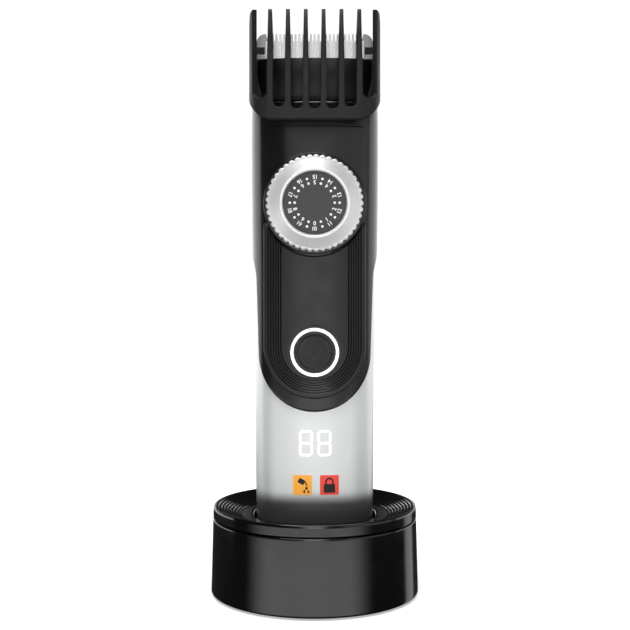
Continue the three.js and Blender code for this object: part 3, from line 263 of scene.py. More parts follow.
def merged(*solids):
    """Several solids as the points and faces of one mesh."""
    points, faces, start = [], [], 0
    for solid_points, solid_faces in solids:
        points.append(solid_points)
        faces += [tuple(i + start for i in face) for face in solid_faces]
        start += len(solid_points)
    return np.concatenate(points), faces


def mirrored(solid):
    """The solid together with its mirror image across X = 0."""
    points, faces = solid
    return merged(solid, (points * (-1, 1, 1), [tuple(reversed(face)) for face in faces]))


def grid_faces(rows, columns, start=0):
    """Faces of a sheet of rows by columns points."""
    return [
        (start + r * columns + c, start + r * columns + c + 1,
         start + (r + 1) * columns + c + 1, start + (r + 1) * columns + c)
        for r in range(rows - 1) for c in range(columns - 1)
    ]


def closed_sheet(outer, inner, faces):
    """A shell from an outer sheet, an inner sheet with the same faces, and a rim round their edges."""
    keys = np.round(outer, 4)
    _, first, same = np.unique(keys, axis=0, return_index=True, return_inverse=True)
    same = first[same.reshape(-1)]
    skin = []
    for face in faces:
        kept = list(dict.fromkeys(int(same[i]) for i in face))
        if len(kept) >= 3:
            skin.append(tuple(kept))
    uses = {}
    for face in skin:
        for a, b in zip(face, face[1:] + face[:1]):
            key = (min(a, b), max(a, b))
            uses[key] = None if key in uses else (a, b)
    count = len(outer)
    rim = [(b, a, a + count, b + count) for a, b in filter(None, uses.values())]
    back = [tuple(i + count for i in reversed(face)) for face in skin]
    return np.concatenate([outer, inner]), skin + rim + back


def edge_drop(distance, radius):
    """How far a surface has dropped at a distance from its edge, where the edge is an arc."""
    near = np.clip(radius - distance, 0, radius)
    return radius - np.sqrt(radius**2 - near**2)


def smooth(value, start, end):
    """0 before start, 1 after end, and a smooth rise between them."""
    t = np.clip((np.asarray(value, float) - start) / (end - start), 0, 1)
    return t * t * (3 - 2 * t)


def distance_to_line(points, line):
    """The distance from each flat point to a line of flat points."""
    best = np.full(len(points), np.inf)
    for start, end in zip(line[:-1], line[1:]):
        along = end - start
        t = np.clip((points - start) @ along / max(along @ along, 1e-12), 0, 1)
        best = np.minimum(best, np.linalg.norm(points - start - t[:, None] * along, axis=1))
    return best


def evenly(line, count):
    """count points spread evenly along a line of flat points."""
    line = np.asarray(line, float)
    along = np.concatenate([[0], np.cumsum(np.linalg.norm(np.diff(line, axis=0), axis=1))])
    places = np.linspace(0, along[-1], count)
    return np.stack([np.interp(places, along, line[:, k]) for k in range(line.shape[1])], axis=-1)


def bezier(a, b, c, d, count=24):
    """Points on a cubic curve."""
    t = np.linspace(0, 1, count)[:, None]
    a, b, c, d = (np.array(p, float) for p in (a, b, c, d))
    return (1 - t) ** 3 * a + 3 * t * (1 - t) ** 2 * b + 3 * t**2 * (1 - t) * c + t**3 * d


def rounded_slab(profile, half_width, edge=0.2, middle=0.0):
    """A slab with rounded edges, from its side outline (y, z). half_width(z) is its half thickness."""
    outline = np.asarray(profile, float)
    before, after = outline - np.roll(outline, 1, axis=0), np.roll(outline, -1, axis=0) - outline
    tangent = before / np.linalg.norm(before, axis=1)[:, None]
    tangent = tangent + after / np.linalg.norm(after, axis=1)[:, None]
    tangent = tangent / np.linalg.norm(tangent, axis=1)[:, None]
    area = np.sum(outline[:, 0] * np.roll(outline[:, 1], -1) - np.roll(outline[:, 0], -1) * outline[:, 1])
    inward = np.stack([-tangent[:, 1], tangent[:, 0]], axis=-1) * np.sign(area)
    widths = half_width(outline[:, 1])
    rings = []
    quarter = np.linspace(0, math.pi / 2, 4)
    for side in (-1, 1):
        for angle in quarter if side < 0 else quarter[::-1]:
            inset = edge * (1 - math.sin(angle))
            flat = outline + inward * inset
            x = middle + side * (widths - edge + edge * math.cos(angle))
            rings.append(np.stack([x, flat[:, 0], flat[:, 1]], axis=-1))
    return loop_solid(rings)


# ---------------------------------------------------------------- pieces
def cleaned(mesh, weld=1e-7):
    """Welds the mesh, drops flat faces and turns its faces outwards."""
    work = bmesh.new()
    work.from_mesh(mesh)
    bmesh.ops.remove_doubles(work, verts=work.verts, dist=weld)
    bmesh.ops.dissolve_degenerate(work, edges=work.edges, dist=weld)
    bmesh.ops.recalc_face_normals(work, faces=work.faces)
    work.to_mesh(mesh)
    work.free()


def solid_mesh(name, solid):
    """A cleaned mesh from points in millimetres and faces."""
    points, faces = solid
    mesh = bpy.data.meshes.new(name)
    mesh.from_pydata((points * MM).tolist(), [], faces)
    cleaned(mesh)
    return mesh


def add_piece(name, solid, material, body, nodes=(), sharp=38.0):
    """A new piece from points in millimetres and faces, riding on a body."""
    points, faces = solid
    mesh = bpy.data.meshes.new(name)
    mesh.from_pydata((np.asarray(points) * MM).tolist(), [], [tuple(map(int, f)) for f in faces])
    mesh.validate()
    cleaned(mesh)
    return finished(name, mesh, material, body, nodes, sharp)


def finished(name, mesh, material, body, nodes=(), sharp=38.0):
    """Makes the object, smooths it, and says what it rides on and stands for."""
    mesh.shade_smooth()
    mesh.set_sharp_from_angle(angle=math.radians(sharp))
    piece = bpy.data.objects.new(name, mesh)
    bpy.context.scene.collection.objects.link(piece)
    mesh.materials.clear()
    mesh.materials.append(material)
    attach(piece, body)
    if nodes:
        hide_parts(*nodes)
    return piece


def with_modifier(mesh, kind, **settings):
    """The mesh after one modifier."""
    carrier = bpy.data.objects.new("carrier", mesh)
    bpy.context.scene.collection.objects.link(carrier)
    modifier = carrier.modifiers.new(kind.lower(), kind)
    for name, value in settings.items():
        setattr(modifier, name, value)
    bpy.context.view_layer.update()
    result = bpy.data.meshes.new_from_object(carrier.evaluated_get(bpy.context.evaluated_depsgraph_get()))
    bpy.data.objects.remove(carrier)
    return result


def softened(node, material, body, bevel=0.12, steps=2, sharp=38.0):
    """A copy of a CAD node with its edges rounded off, standing for it."""
    mesh = frame["nodes"][node].data.copy()
    work = bmesh.new()
    work.from_mesh(mesh)
    bmesh.ops.remove_doubles(work, verts=work.verts, dist=1e-6)
    bmesh.ops.dissolve_limit(work, angle_limit=math.radians(1.5), verts=work.verts, edges=work.edges)
    work.to_mesh(mesh)
    work.free()
    mesh = with_modifier(
        mesh, "BEVEL", width=bevel * MM, segments=steps, limit_method="ANGLE",
        angle_limit=math.radians(32), use_clamp_overlap=True, harden_normals=False)
    return finished(node + "_soft", mesh, material, body, [node], sharp)


# ---------------------------------------------------------------- materials
def new_material(name):
    """An empty node material: its tree, its shader and its object coordinates."""
    material = bpy.data.materials.new(name)
    material.use_nodes = True
    tree = material.node_tree
    shader = tree.nodes["Principled BSDF"]
    place = tree.nodes.new("ShaderNodeTexCoord")
    return material, tree, shader, place.outputs["Object"]


def noise(tree, place, scale, detail=3.0, stretch=(1, 1, 1)):
    """Noise over the object, of scale features per metre, stretched along the axes."""
    mapping = tree.nodes.new("ShaderNodeMapping")
    mapping.inputs["Scale"].default_value = stretch
    tree.links.new(place, mapping.inputs["Vector"])
    texture = tree.nodes.new("ShaderNodeTexNoise")
    texture.inputs["Scale"].default_value = scale
    texture.inputs["Detail"].default_value = detail
    tree.links.new(mapping.outputs["Vector"], texture.inputs["Vector"])
    return texture.outputs["Fac"]


def remap(tree, value, low, high, from_low=0.3, from_high=0.7):
    """A value moved from one range to another."""
    node = tree.nodes.new("ShaderNodeMapRange")
    node.inputs["From Min"].default_value = from_low
    node.inputs["From Max"].default_value = from_high
    node.inputs["To Min"].default_value = low
    node.inputs["To Max"].default_value = high
    tree.links.new(value, node.inputs["Value"])
    return node.outputs["Result"]


def mixed_colour(tree, factor, first, second):
    """A colour between two colours or outputs, by factor."""
    node = tree.nodes.new("ShaderNodeMix")
    node.data_type = "RGBA"
    tree.links.new(factor, node.inputs["Factor"])
    for socket, value in (("A", first), ("B", second)):
        target = [i for i in node.inputs if i.name == socket and i.type == "RGBA"][0]
        if isinstance(value, bpy.types.NodeSocket):
            tree.links.new(value, target)
        else:
            target.default_value = (*value, 1)
    return [o for o in node.outputs if o.type == "RGBA"][0]


def bump(tree, height, strength, distance, below=None):
    """A bump from a height, laid over another bump."""
    node = tree.nodes.new("ShaderNodeBump")
    node.inputs["Strength"].default_value = strength
    node.inputs["Distance"].default_value = distance
    tree.links.new(height, node.inputs["Height"])
    if below is not None:
        tree.links.new(below, node.inputs["Normal"])
    return node.outputs["Normal"]


def grey(value):
    return (value, value, value * 1.01)


def moulded(name, colour, roughness, grain=2600, grain_depth=0.004, specular=0.5, spread=0.12,
            rough_spread=0.05):
    """Moulded plastic: a fine spark-eroded grain, slight clouding, and slightly uneven gloss."""
    material, tree, shader, place = new_material(name)
    shader.inputs["Specular IOR Level"].default_value = specular
    cloud = noise(tree, place, 45, 4)
    darker = tuple(c * (1 - spread) for c in colour)
    lighter = tuple(c * (1 + spread) for c in colour)
    tree.links.new(mixed_colour(tree, cloud, darker, lighter), shader.inputs["Base Color"])
    rough = remap(tree, noise(tree, place, 160, 5), roughness - rough_spread, roughness + rough_spread)
    tree.links.new(rough, shader.inputs["Roughness"])
    grains = noise(tree, place, grain, 2)
    tree.links.new(bump(tree, grains, 0.35, grain_depth * MM), shader.inputs["Normal"])
    return material


def brushed(name, colour, roughness, stretch=(1, 1, 0.02), scale=2400, depth=0.006, metallic=1.0,
            spread=0.08):
    """Brushed metal: long fine scratches along one axis in colour, gloss and relief."""
    material, tree, shader, place = new_material(name)
    shader.inputs["Metallic"].default_value = metallic
    lines = noise(tree, place, scale, 4, stretch)
    darker = tuple(c * (1 - spread) for c in colour)
    tree.links.new(mixed_colour(tree, lines, darker, colour), shader.inputs["Base Color"])
    rough = remap(tree, lines, roughness - 0.06, roughness + 0.08)
    tree.links.new(rough, shader.inputs["Roughness"])
    tree.links.new(bump(tree, lines, 0.4, depth * MM), shader.inputs["Normal"])
    return material


def radius_from(tree, place, centre):
    """The distance of a point from a line along Y through centre (x, z), in metres."""
    split = tree.nodes.new("ShaderNodeSeparateXYZ")
    tree.links.new(place, split.inputs["Vector"])
    join = tree.nodes.new("ShaderNodeCombineXYZ")
    for axis, middle in (("X", centre[0]), ("Z", centre[1])):
        shift = tree.nodes.new("ShaderNodeMath")
        shift.operation = "SUBTRACT"
        shift.inputs[1].default_value = middle
        tree.links.new(split.outputs[axis], shift.inputs[0])
        tree.links.new(shift.outputs["Value"], join.inputs[axis])
    length = tree.nodes.new("ShaderNodeVectorMath")
    length.operation = "LENGTH"
    tree.links.new(join.outputs["Vector"], length.inputs[0])
    return length.outputs["Value"]


def turned_metal(name, colour, roughness, centre):
    """Metal turned on a lathe about a line along Y: fine rings in relief, colour and gloss."""
    material, tree, shader, place = new_material(name)
    shader.inputs["Metallic"].default_value = 0.5
    radius = radius_from(tree, place, centre)
    join = tree.nodes.new("ShaderNodeCombineXYZ")
    tree.links.new(radius, join.inputs["X"])
    rings = noise(tree, join.outputs["Vector"], 3200, 3)
    darker = tuple(c * 0.72 for c in colour)
    tree.links.new(mixed_colour(tree, rings, darker, colour), shader.inputs["Base Color"])
    tree.links.new(remap(tree, rings, roughness - 0.05, roughness + 0.08), shader.inputs["Roughness"])
    tree.links.new(bump(tree, rings, 0.5, 0.012 * MM), shader.inputs["Normal"])
    return material


def silver_paint(name):
    """Satin silver paint with fine metal flakes, painted dark grey at the foot as painted shade and
    reflection of the dark dock.
    """
    material, tree, shader, place = new_material(name)
    shader.inputs["Metallic"].default_value = 0.33
    flakes = noise(tree, place, 9000, 2)
    paint = mixed_colour(tree, flakes, (0.68, 0.70, 0.695), (0.76, 0.78, 0.775))
    split = tree.nodes.new("ShaderNodeSeparateXYZ")
    tree.links.new(place, split.inputs["Vector"])
    # Painted shade: the paint turns dark grey from 36.5 mm down to 31.5 mm, standing in for the dock's shade
    # and dark reflection on the foot.
    foot = tree.nodes.new("ShaderNodeMapRange")
    foot.interpolation_type = "SMOOTHSTEP"
    foot.inputs["From Min"].default_value = 31.5 * MM
    foot.inputs["From Max"].default_value = 36.5 * MM
    tree.links.new(split.outputs["Z"], foot.inputs["Value"])
    shade = mixed_colour(tree, foot.outputs["Result"], (0.10, 0.101, 0.103), paint)
    tree.links.new(shade, shader.inputs["Base Color"])
    tree.links.new(remap(tree, flakes, 0.3, 0.38), shader.inputs["Roughness"])
    tree.links.new(bump(tree, flakes, 0.2, 0.002 * MM), shader.inputs["Normal"])
    return material


def glowing(name, colour, strength):
    """A lit, slightly milky light guide."""
    material, tree, shader, place = new_material(name)
    milk = noise(tree, place, 900, 3)
    dim = tuple(c * 0.9 for c in colour)
    shade = mixed_colour(tree, milk, dim, colour)
    tree.links.new(shade, shader.inputs["Base Color"])
    tree.links.new(shade, shader.inputs["Emission Color"])
    shader.inputs["Emission Strength"].default_value = strength
    shader.inputs["Roughness"].default_value = 0.4
    return material


LOOKS = {
    "dock_gloss": moulded("dock_gloss", grey(0.002), 0.12, 2200, 0.002, 0.65, 0.15, 0.03),
    "body_gloss": moulded("body_gloss", grey(0.007), 0.20, 2600, 0.002, 0.5, 0.12, 0.03),
    "grip_satin": moulded("grip_satin", grey(0.016), 0.36, 3600, 0.004, 0.4, 0.1),
    "comb_satin": moulded("comb_satin", grey(0.012), 0.45, 3200, 0.006, 0.32, 0.1),
    "head_black": moulded("head_black", grey(0.005), 0.5, 3200, 0.006, 0.25, 0.1),
    "inner_plastic": moulded("inner_plastic", grey(0.015), 0.5, 2400, 0.006, 0.35),
    "silver_shell": silver_paint("silver_shell"),
    "dial_metal": turned_metal("dial_metal", (0.96, 0.96, 0.97), 0.34, (0, DIAL_Z * MM)),
    "dial_disc": moulded("dial_disc", grey(0.06), 0.5, 3000, 0.004, 0.3, 0.06),
    "button_black": moulded("button_black", grey(0.014), 0.42, 3400, 0.004, 0.4, 0.08),
    "blade_steel": brushed("blade_steel", (0.97, 0.97, 0.98), 0.28, (1, 1, 0.02), 2400, 0.006),
    "zinc_steel": brushed("zinc_steel", (0.50, 0.51, 0.53), 0.4, (1, 1, 1), 900, 0.004),
    "cast_weight": brushed("cast_weight", (0.30, 0.30, 0.31), 0.6, (1, 1, 1), 500, 0.03),
    "contact_brass": brushed("contact_brass", (0.78, 0.58, 0.27), 0.3, (1, 1, 1), 1200, 0.003),
    "board_green": moulded("board_green", (0.02, 0.13, 0.05), 0.4, 700, 0.01, 0.5, 0.3),
    "foot_rubber": moulded("foot_rubber", grey(0.02), 0.8, 1800, 0.02, 0.3, 0.2),
    "light_white": glowing("light_white", (0.9, 0.9, 0.9), 0.75),
    "icon_orange": glowing("icon_orange", (0.87, 0.36, 0.028), 0.35),
    "icon_red": glowing("icon_red", (0.75, 0.045, 0.028), 0.35),
    "cell_wrap": moulded("cell_wrap", (0.03, 0.16, 0.45), 0.35, 900, 0.004, 0.5, 0.1),
    "dial_print": moulded("dial_print", (0.92, 0.92, 0.92), 0.5, 3000, 0.002, 0.3, 0.03),
    "nylon": moulded("nylon", (0.78, 0.77, 0.72), 0.45, 1600, 0.005, 0.4, 0.04),
}


def paint_cad_nodes():
    """Gives every CAD node the procedural material of its slot in the record."""
    for entry in frame["record"]["subparts"]:
        piece = frame["nodes"][entry["node"]]
        look = LOOKS[entry["material_slot"]]
        if not piece.material_slots:
            piece.data.materials.append(look)
        for slot in piece.material_slots:
            slot.material = look


# ---------------------------------------------------------------- dock
def dock_wall_points(low, high):
    """Points up the dock's slightly leaning wall, which keep its shading even between the edges."""
    foot, top = DOCK_SKIRT + 1.2, DOCK_SEAM
    return [(float(np.interp(z, (foot, top), (DOCK_BASE_R, DOCK_RIM_R + 0.1))), float(z))
            for z in np.linspace(low, high, 6)]


def dock_shell():
    wall = 2.0
    profile = rounded([
        (DOCK_BASE_R - wall, DOCK_SKIRT, 0.3), (DOCK_BASE_R, DOCK_SKIRT, 0.7),
        (DOCK_BASE_R, DOCK_SKIRT + 1.2, 0.5), *dock_wall_points(DOCK_SKIRT + 2, DOCK_SEAM - 0.9),
        (DOCK_RIM_R + 0.1, DOCK_SEAM - GAP / 2, 0.3),
        (DOCK_RIM_R - wall, DOCK_SEAM - GAP / 2, 0.2),
    ], closed=True)
    mesh = solid_mesh("shell", turned(profile, closed=True, count=256))
    low, high = node_box("dock_usb_socket")
    port = port_cutter(low, high)
    mesh = with_modifier(mesh, "BOOLEAN", operation="DIFFERENCE", solver="EXACT", object=port)
    bpy.data.objects.remove(port)
    return finished("dock_shell_skin", mesh, LOOKS["dock_gloss"], "dock", ["dock_shell"])


def port_cutter(low, high):
    """The opening for the charging socket, as an object that cuts it."""
    grow = 0.4
    half_w, half_h = (high[0] - low[0]) / 2 + grow, (high[2] - low[2]) / 2 + grow
    middle = (low[2] + high[2]) / 2
    outline = rounded([(-half_w, middle - half_h, 1.3), (half_w, middle - half_h, 1.3),
                       (half_w, middle + half_h, 1.3), (-half_w, middle + half_h, 1.3)], closed=True)
    rings = [np.array([(x, y, z) for x, z in outline]) for y in (low[1] + 2, 40.0)]
    mesh = solid_mesh("port", loop_solid(rings))
    cutter = bpy.data.objects.new("port", mesh)
    bpy.context.scene.collection.objects.link(cutter)
    return cutter


def dock_dish():
    """The dock's top: rim, finely stepped dish, flat middle and the well that holds the trimmer."""
    count = 256
    first_r = DOCK_RIM_R - 0.75
    step_r = (first_r - DISH_R) / DISH_STEPS
    step_z = (DOCK_TOP - 0.2 - DISH_Z) / DISH_STEPS
    corners = [(DOCK_RIM_R - 3, DOCK_SEAM + GAP / 2), (DOCK_RIM_R + 0.1, DOCK_SEAM + GAP / 2, 0.25),
               (DOCK_RIM_R + 0.08, DOCK_SEAM + 0.7), (DOCK_RIM_R + 0.03, DOCK_TOP - 1.0),
               (DOCK_RIM_R, DOCK_TOP, 0.4), (first_r, DOCK_TOP, 0.25)]
    for step in range(DISH_STEPS):
        z = DOCK_TOP - 0.2 - step * step_z
        radius = first_r - step * step_r
        corners.append((radius - 0.05, z, 0.08))
        corners.append((radius - step_r + 0.12, z - 0.02, 0.1))
    corners.append((DISH_R, DISH_Z, 0.1))
    corners.append((DISH_R - 0.8, DISH_Z))
    rings = [circle(radius, z, count) for radius, z in rounded(corners, steps=3)]
    well = grown(LOWER_LEVELS, 0.8)
    mouth = Section(well, BODY_POWER)
    angle = np.linspace(0, 2 * math.pi, count, endpoint=False)

    def well_ring(z, grow):
        loop = mouth.ring(z, grow, 1024)
        turn = np.unwrap(np.arctan2(loop[:, 1], loop[:, 0]))
        turn = turn - 2 * math.pi * math.floor(turn[0] / (2 * math.pi))
        order = np.argsort(turn % (2 * math.pi))
        known = (turn % (2 * math.pi))[order]
        reach = np.hypot(loop[:, 0], loop[:, 1])[order]
        radius = np.interp(angle, known, reach, period=2 * math.pi)
        return np.stack([radius * np.cos(angle), radius * np.sin(angle), np.full(count, z)], axis=-1)

    edge = 0.5
    lip = well_ring(DISH_Z, edge)
    for share in (0.35, 0.7):
        rings.append(rings[-1] * (1 - share) + lip * share)
    for turn in np.linspace(0, math.pi / 2, 5):
        rings.append(well_ring(DISH_Z - edge * (1 - math.cos(turn)), edge * (1 - math.sin(turn))))
    floor_z = 9.6
    rings += [well_ring(z, 0) for z in (22, 18, 14, floor_z + 1)]
    rings += [well_ring(floor_z + 0.3, -0.3), well_ring(floor_z, -1)]
    under = [well_ring(floor_z - 1.8, -1), well_ring(floor_z - 1.8, 1.8), well_ring(DISH_Z - 2, 1.8)]
    under += [circle(DOCK_RIM_R - 3, DISH_Z - 2, count)]
    solid = loop_solid(under + rings)
    return add_piece("dock_dish_skin", solid, LOOKS["dock_gloss"], "dock", ["dock_dish"])


def dock_under():
    """The base plate with its feet and screws, seen from below and behind."""
    radius = node_box("dock_base_plate")[1][0]
    low, high = node_box("dock_base_plate")
    plate = turned(rounded([(radius - 1.2, high[2]), (radius, high[2], 0.3), (radius, low[2], 0.4),
                            (12, low[2], 0.2), (11.6, low[2] + 0.4, 0.2), (9, low[2] + 0.4, 0.2),
                            (8.6, low[2], 0.2), (2, low[2])]))
    add_piece("dock_base_skin", plate, LOOKS["inner_plastic"], "dock",
              ["dock_base_plate"])
    for number in range(1, 5):
        node = f"dock_foot_{number}"
        low, high = node_box(node)
        foot_r = (high[0] - low[0]) / 2
        profile = rounded([(foot_r - 1.5, low[2]), (foot_r, low[2], 0.5), (foot_r, high[2], 0.2),
                           (foot_r - 1.5, high[2])])
        solid = turned([(foot_r - 1.5, low[2] + 0.25)] + profile, count=64, at=(low + high)[:2] / 2)
        add_piece(f"{node}_pad", solid, LOOKS["foot_rubber"], "dock", [node])
    for number in range(1, 4):
        softened(f"dock_screw_{number}", LOOKS["zinc_steel"], "dock", 0.15)
    for side in ("left", "right"):
        softened(f"dock_pin_barrel_{side}", LOOKS["contact_brass"], "dock", 0.1)
        softened(f"charge_pin_{side}", LOOKS["contact_brass"], f"{side}_charge_pin", 0.12)
    softened("dock_usb_socket", LOOKS["zinc_steel"], "dock", 0.1)


# ---------------------------------------------------------------- silver housing and display
def lower_housing():
    foot = TRIMMER_FOOT + 2.3
    outer = [HOUSING.ring(foot + 0.25 * (1 - math.cos(t)), -0.25 * (1 - math.sin(t)))
             for t in np.linspace(0, math.pi / 2, 4)]
    outer += [HOUSING.ring(z) for z in np.linspace(foot + 1, HOUSING_TOP - 0.5, 60)]
    outer += [HOUSING.ring(HOUSING_TOP - 0.25 * (1 - math.sin(t)), -0.25 * (1 - math.cos(t)))
              for t in np.linspace(0, math.pi / 2, 4)]
    neck = [HOUSING.ring(HOUSING_TOP, -1.9), HOUSING.ring(115.7, -1.9), HOUSING.ring(115.7, -2.9)]
    inner = [HOUSING.ring(z, -2.9) for z in (100, 60, foot + 2)] + [HOUSING.ring(foot, -1.6)]
    solid = loop_solid(outer + neck + inner, closed=True)
    add_piece("silver_housing", solid, LOOKS["silver_shell"], "trimmer",
              ["lower_housing"])


def bottom_cap():
    top = TRIMMER_FOOT + 2
    edge = 0.9
    rings = [HOUSING.ring(TRIMMER_FOOT, -3)]
    rings += [HOUSING.ring(TRIMMER_FOOT + edge * (1 - math.sin(t)), -edge * (1 - math.cos(t)))
              for t in np.linspace(math.pi / 2, 0, 7)]
    rings += [HOUSING.ring(top - 0.2), HOUSING.ring(top, -0.2), HOUSING.ring(top, -2.1)]
    rings += [HOUSING.ring(TRIMMER_FOOT + 4.9, -2.1)]
    add_piece("bottom_cap_skin", loop_solid(rings), LOOKS["inner_plastic"], "trimmer",
              ["bottom_cap"])
    contacts = []
    for x in (-4, 4):
        profile = rounded([(1.0, TRIMMER_FOOT - 0.0), (1.7, TRIMMER_FOOT, 0.15),
                           (1.7, TRIMMER_FOOT + 1.0), (0.2, TRIMMER_FOOT + 1.0)])
        contacts.append((x, turned(profile, count=48, at=(x, 0))))
    for (x, solid), side in zip(contacts, ("left", "right")):
        add_piece(f"contact_{side}_pad", (solid[0] - (0, 0, 0.02), solid[1]), LOOKS["contact_brass"],
                  "trimmer", [f"charge_contact_{side}"])


def front_tile(outline, proud, depth=0.4, edge=0.06):
    """A thin tile on the silver housing's front from an outline of (x, z), standing proud of it."""
    outline = np.asarray(outline, float)
    middle = outline.mean(axis=0)

    def loop(scale, grow):
        flat = middle + (outline - middle) * scale
        return HOUSING.front(flat[:, 0], flat[:, 1], grow)

    size = np.linalg.norm(outline - middle, axis=1).mean()
    face = [loop(scale, proud) for scale in np.linspace(1 - edge / size, 0.04, 8)]
    return loop_solid([loop(1, -depth), loop(1, proud - edge)] + face)


def digit_bars(x0, width, low, high, thick):
    """The outlines of the seven bars of one lit digit, with their ends cut to points."""
    half = thick / 2
    middle = (low + high) / 2
    slack = 0.12
    bars = []
    for z in (low + half, middle, high - half):
        left, right = x0 + half + slack, x0 + width - half - slack
        bars.append([(left, z), (left + half, z - half), (right - half, z - half),
                     (right, z), (right - half, z + half), (left + half, z + half)])
    for x in (x0 + half, x0 + width - half):
        for z0, z1 in ((low + half, middle), (middle, high - half)):
            z0, z1 = z0 + slack, z1 - slack
            bars.append([(x, z0), (x + half, z0 + half), (x + half, z1 - half),
                         (x, z1), (x - half, z1 - half), (x - half, z0 + half)])
    return bars


def display():
    """The two lit digits, the two lit warning squares and their signs."""
    low, high = 47.4, 55.7
    bars = [bar for x0 in (-5.0, 0.9) for bar in digit_bars(x0, 4.4, low, high, 0.72)]
    solid = merged(*[front_tile(bar, 0.05) for bar in bars])
    add_piece("display_digits", solid, LOOKS["light_white"], "trimmer",
              ["display_light_guide"])
    half = 3.0
    for node, centre, slot in (("oil_icon_lens", -3.9, "icon_orange"), ("lock_icon_lens", 4.7, "icon_red")):
        outline = rounded([(centre - half, 35.0, 0.35), (centre + half, 35.0, 0.35),
                           (centre + half, 41.3, 0.35), (centre - half, 41.3, 0.35)], closed=True)
        solid = front_tile(outline, 0.17)
        add_piece(node + "_tile", solid, LOOKS[slot], "trimmer", [node])
    oil_sign(-3.9, 38.15)
    lock_sign(4.7, 38.15)


def oil_sign(x, z):
    """A small oil can tipping over a drop."""
    turn = math.radians(-28)
    cosine, sine = math.cos(turn), math.sin(turn)

    def place(points):
        return [(x + px * cosine - pz * sine, z + px * sine + pz * cosine) for px, pz in points]

    can = place(rounded([(-1.9, 0.1, 0.2), (0.2, 0.1, 0.2), (0.2, 1.7, 0.2), (-1.9, 1.7, 0.2)],
                        closed=True, steps=3))
    spout = place([(0.3, 1.0), (1.5, 0.3), (1.6, 0.55), (0.3, 1.6)])
    drops = []
    for dx, dz, size in ((1.3, -1.1, 0.42), (0.6, -2.1, 0.38), (1.9, -2.2, 0.34)):
        angle = np.linspace(0, 2 * math.pi, 14, endpoint=False)
        reach = size * (1 + 0.55 * np.clip(np.sin(angle), 0, 1) ** 6)
        drops.append([(x + dx + r * math.cos(a), z + dz + r * math.sin(a)) for a, r in zip(angle, reach)])
    solids = [front_tile(shape, 0.24, 0.2, 0.02) for shape in [can, spout, *drops]]
    add_piece("oil_sign", merged(*solids), LOOKS["inner_plastic"], "trimmer")


def lock_sign(x, z):
    """A small padlock."""
    body = rounded([(x - 1.8, z - 2.4, 0.25), (x + 1.8, z - 2.4, 0.25), (x + 1.8, z + 0.35, 0.25),
                    (x - 1.8, z + 0.35, 0.25)], closed=True, steps=3)
    angle = np.linspace(0, math.pi, 13)
    bow = [(x + 1.35 * math.cos(a), z + 1.05 + 1.35 * math.sin(a)) for a in angle]
    bow = [(x + 1.35, z + 0.2)] + bow + [(x - 1.35, z + 0.2)]
    inside = [(x + 0.85 * math.cos(a), z + 1.05 + 0.85 * math.sin(a)) for a in angle[::-1]]
    inside = [(x - 0.85, z + 0.2)] + inside + [(x + 0.85, z + 0.2)]
    strips = []
    for k in range(len(bow) - 1):
        strips.append([bow[k], bow[k + 1], inside[-k - 2], inside[-k - 1]])
    solids = [front_tile(shape, 0.24, 0.2, 0.01) for shape in [body, *strips]]
    add_piece("lock_sign", merged(*solids), LOOKS["inner_plastic"], "trimmer")


# ---------------------------------------------------------------- covers
COVER_EDGE = 0.7               # radius of the covers' edges
LIFT_LINE = ((-15.0, 14.4), (152.8, 153.8), 0.5)


def cover_border():
    """The left edge of the front cover as (distance along, z): its seam, then its foot to the middle."""
    split = -float(COVER.at_y(SPLIT_Y - GAP / 2, 130.0))
    shoulder = bezier((-20.7, COVER_BOTTOM), (-20.25, 109.3), (-19.5, 107.6),
                      (-TAIL_TOP_HALF_W, TAIL_TOP_Z))
    arc_z = TAIL_BOTTOM + TAIL_HALF_W
    side = [(-TAIL_TOP_HALF_W + (TAIL_TOP_HALF_W - TAIL_HALF_W) * t, TAIL_TOP_Z + (arc_z - TAIL_TOP_Z) * t)
            for t in np.linspace(0, 1, 20)[1:]]
    arc = [(-TAIL_HALF_W * math.cos(t), arc_z - TAIL_HALF_W * math.sin(t))
           for t in np.linspace(0, math.pi / 2, 60)[1:]]
    lower = [(float(COVER.at_x(x, z)), z) for x, z in [*shoulder[1:], *side, *arc]]
    seam = [(split, COVER_TOP), (split, 150.0), (split, COVER_BOTTOM)]
    corner = [(split + 0.5, COVER_BOTTOM)]
    return seam, corner + lower


def cover_rows():
    """Pairs of ends for the lines of the cover's net: on its border, and on the middle line."""
    seam, lower = cover_border()
    split = seam[0][0]
    (_, _), (line_low, line_high), _ = LIFT_LINE
    near = [line_low - 0.25, line_low - 0.1, line_low, line_low + 0.12, line_low + 0.3, line_high - 0.3,
            line_high - 0.12, line_high, line_high + 0.1, line_high + 0.25]
    heights = sorted([COVER_TOP - d for d in (0, 0.05, 0.15, 0.3, 0.5, 0.7, 1.2)]
                     + list(np.arange(150.0, 159.6, 0.8)) + near, reverse=True)
    rows = [((split, z), (0.0, z)) for z in heights]
    count = 44
    for z in np.linspace(150, COVER_BOTTOM, count)[1:]:
        share = (150 - z) / (150 - COVER_BOTTOM)
        rows.append(((split, z), (0.0, 150 - share * 24)))
    middle_z = 126.0
    border = evenly(lower, 220)
    share = np.linspace(0, 1, len(border))
    centre = middle_z - (middle_z - (TAIL_BOTTOM + 4)) * share
    rows += [(tuple(edge), (0.0, z)) for edge, z in zip(border, centre)]
    return rows


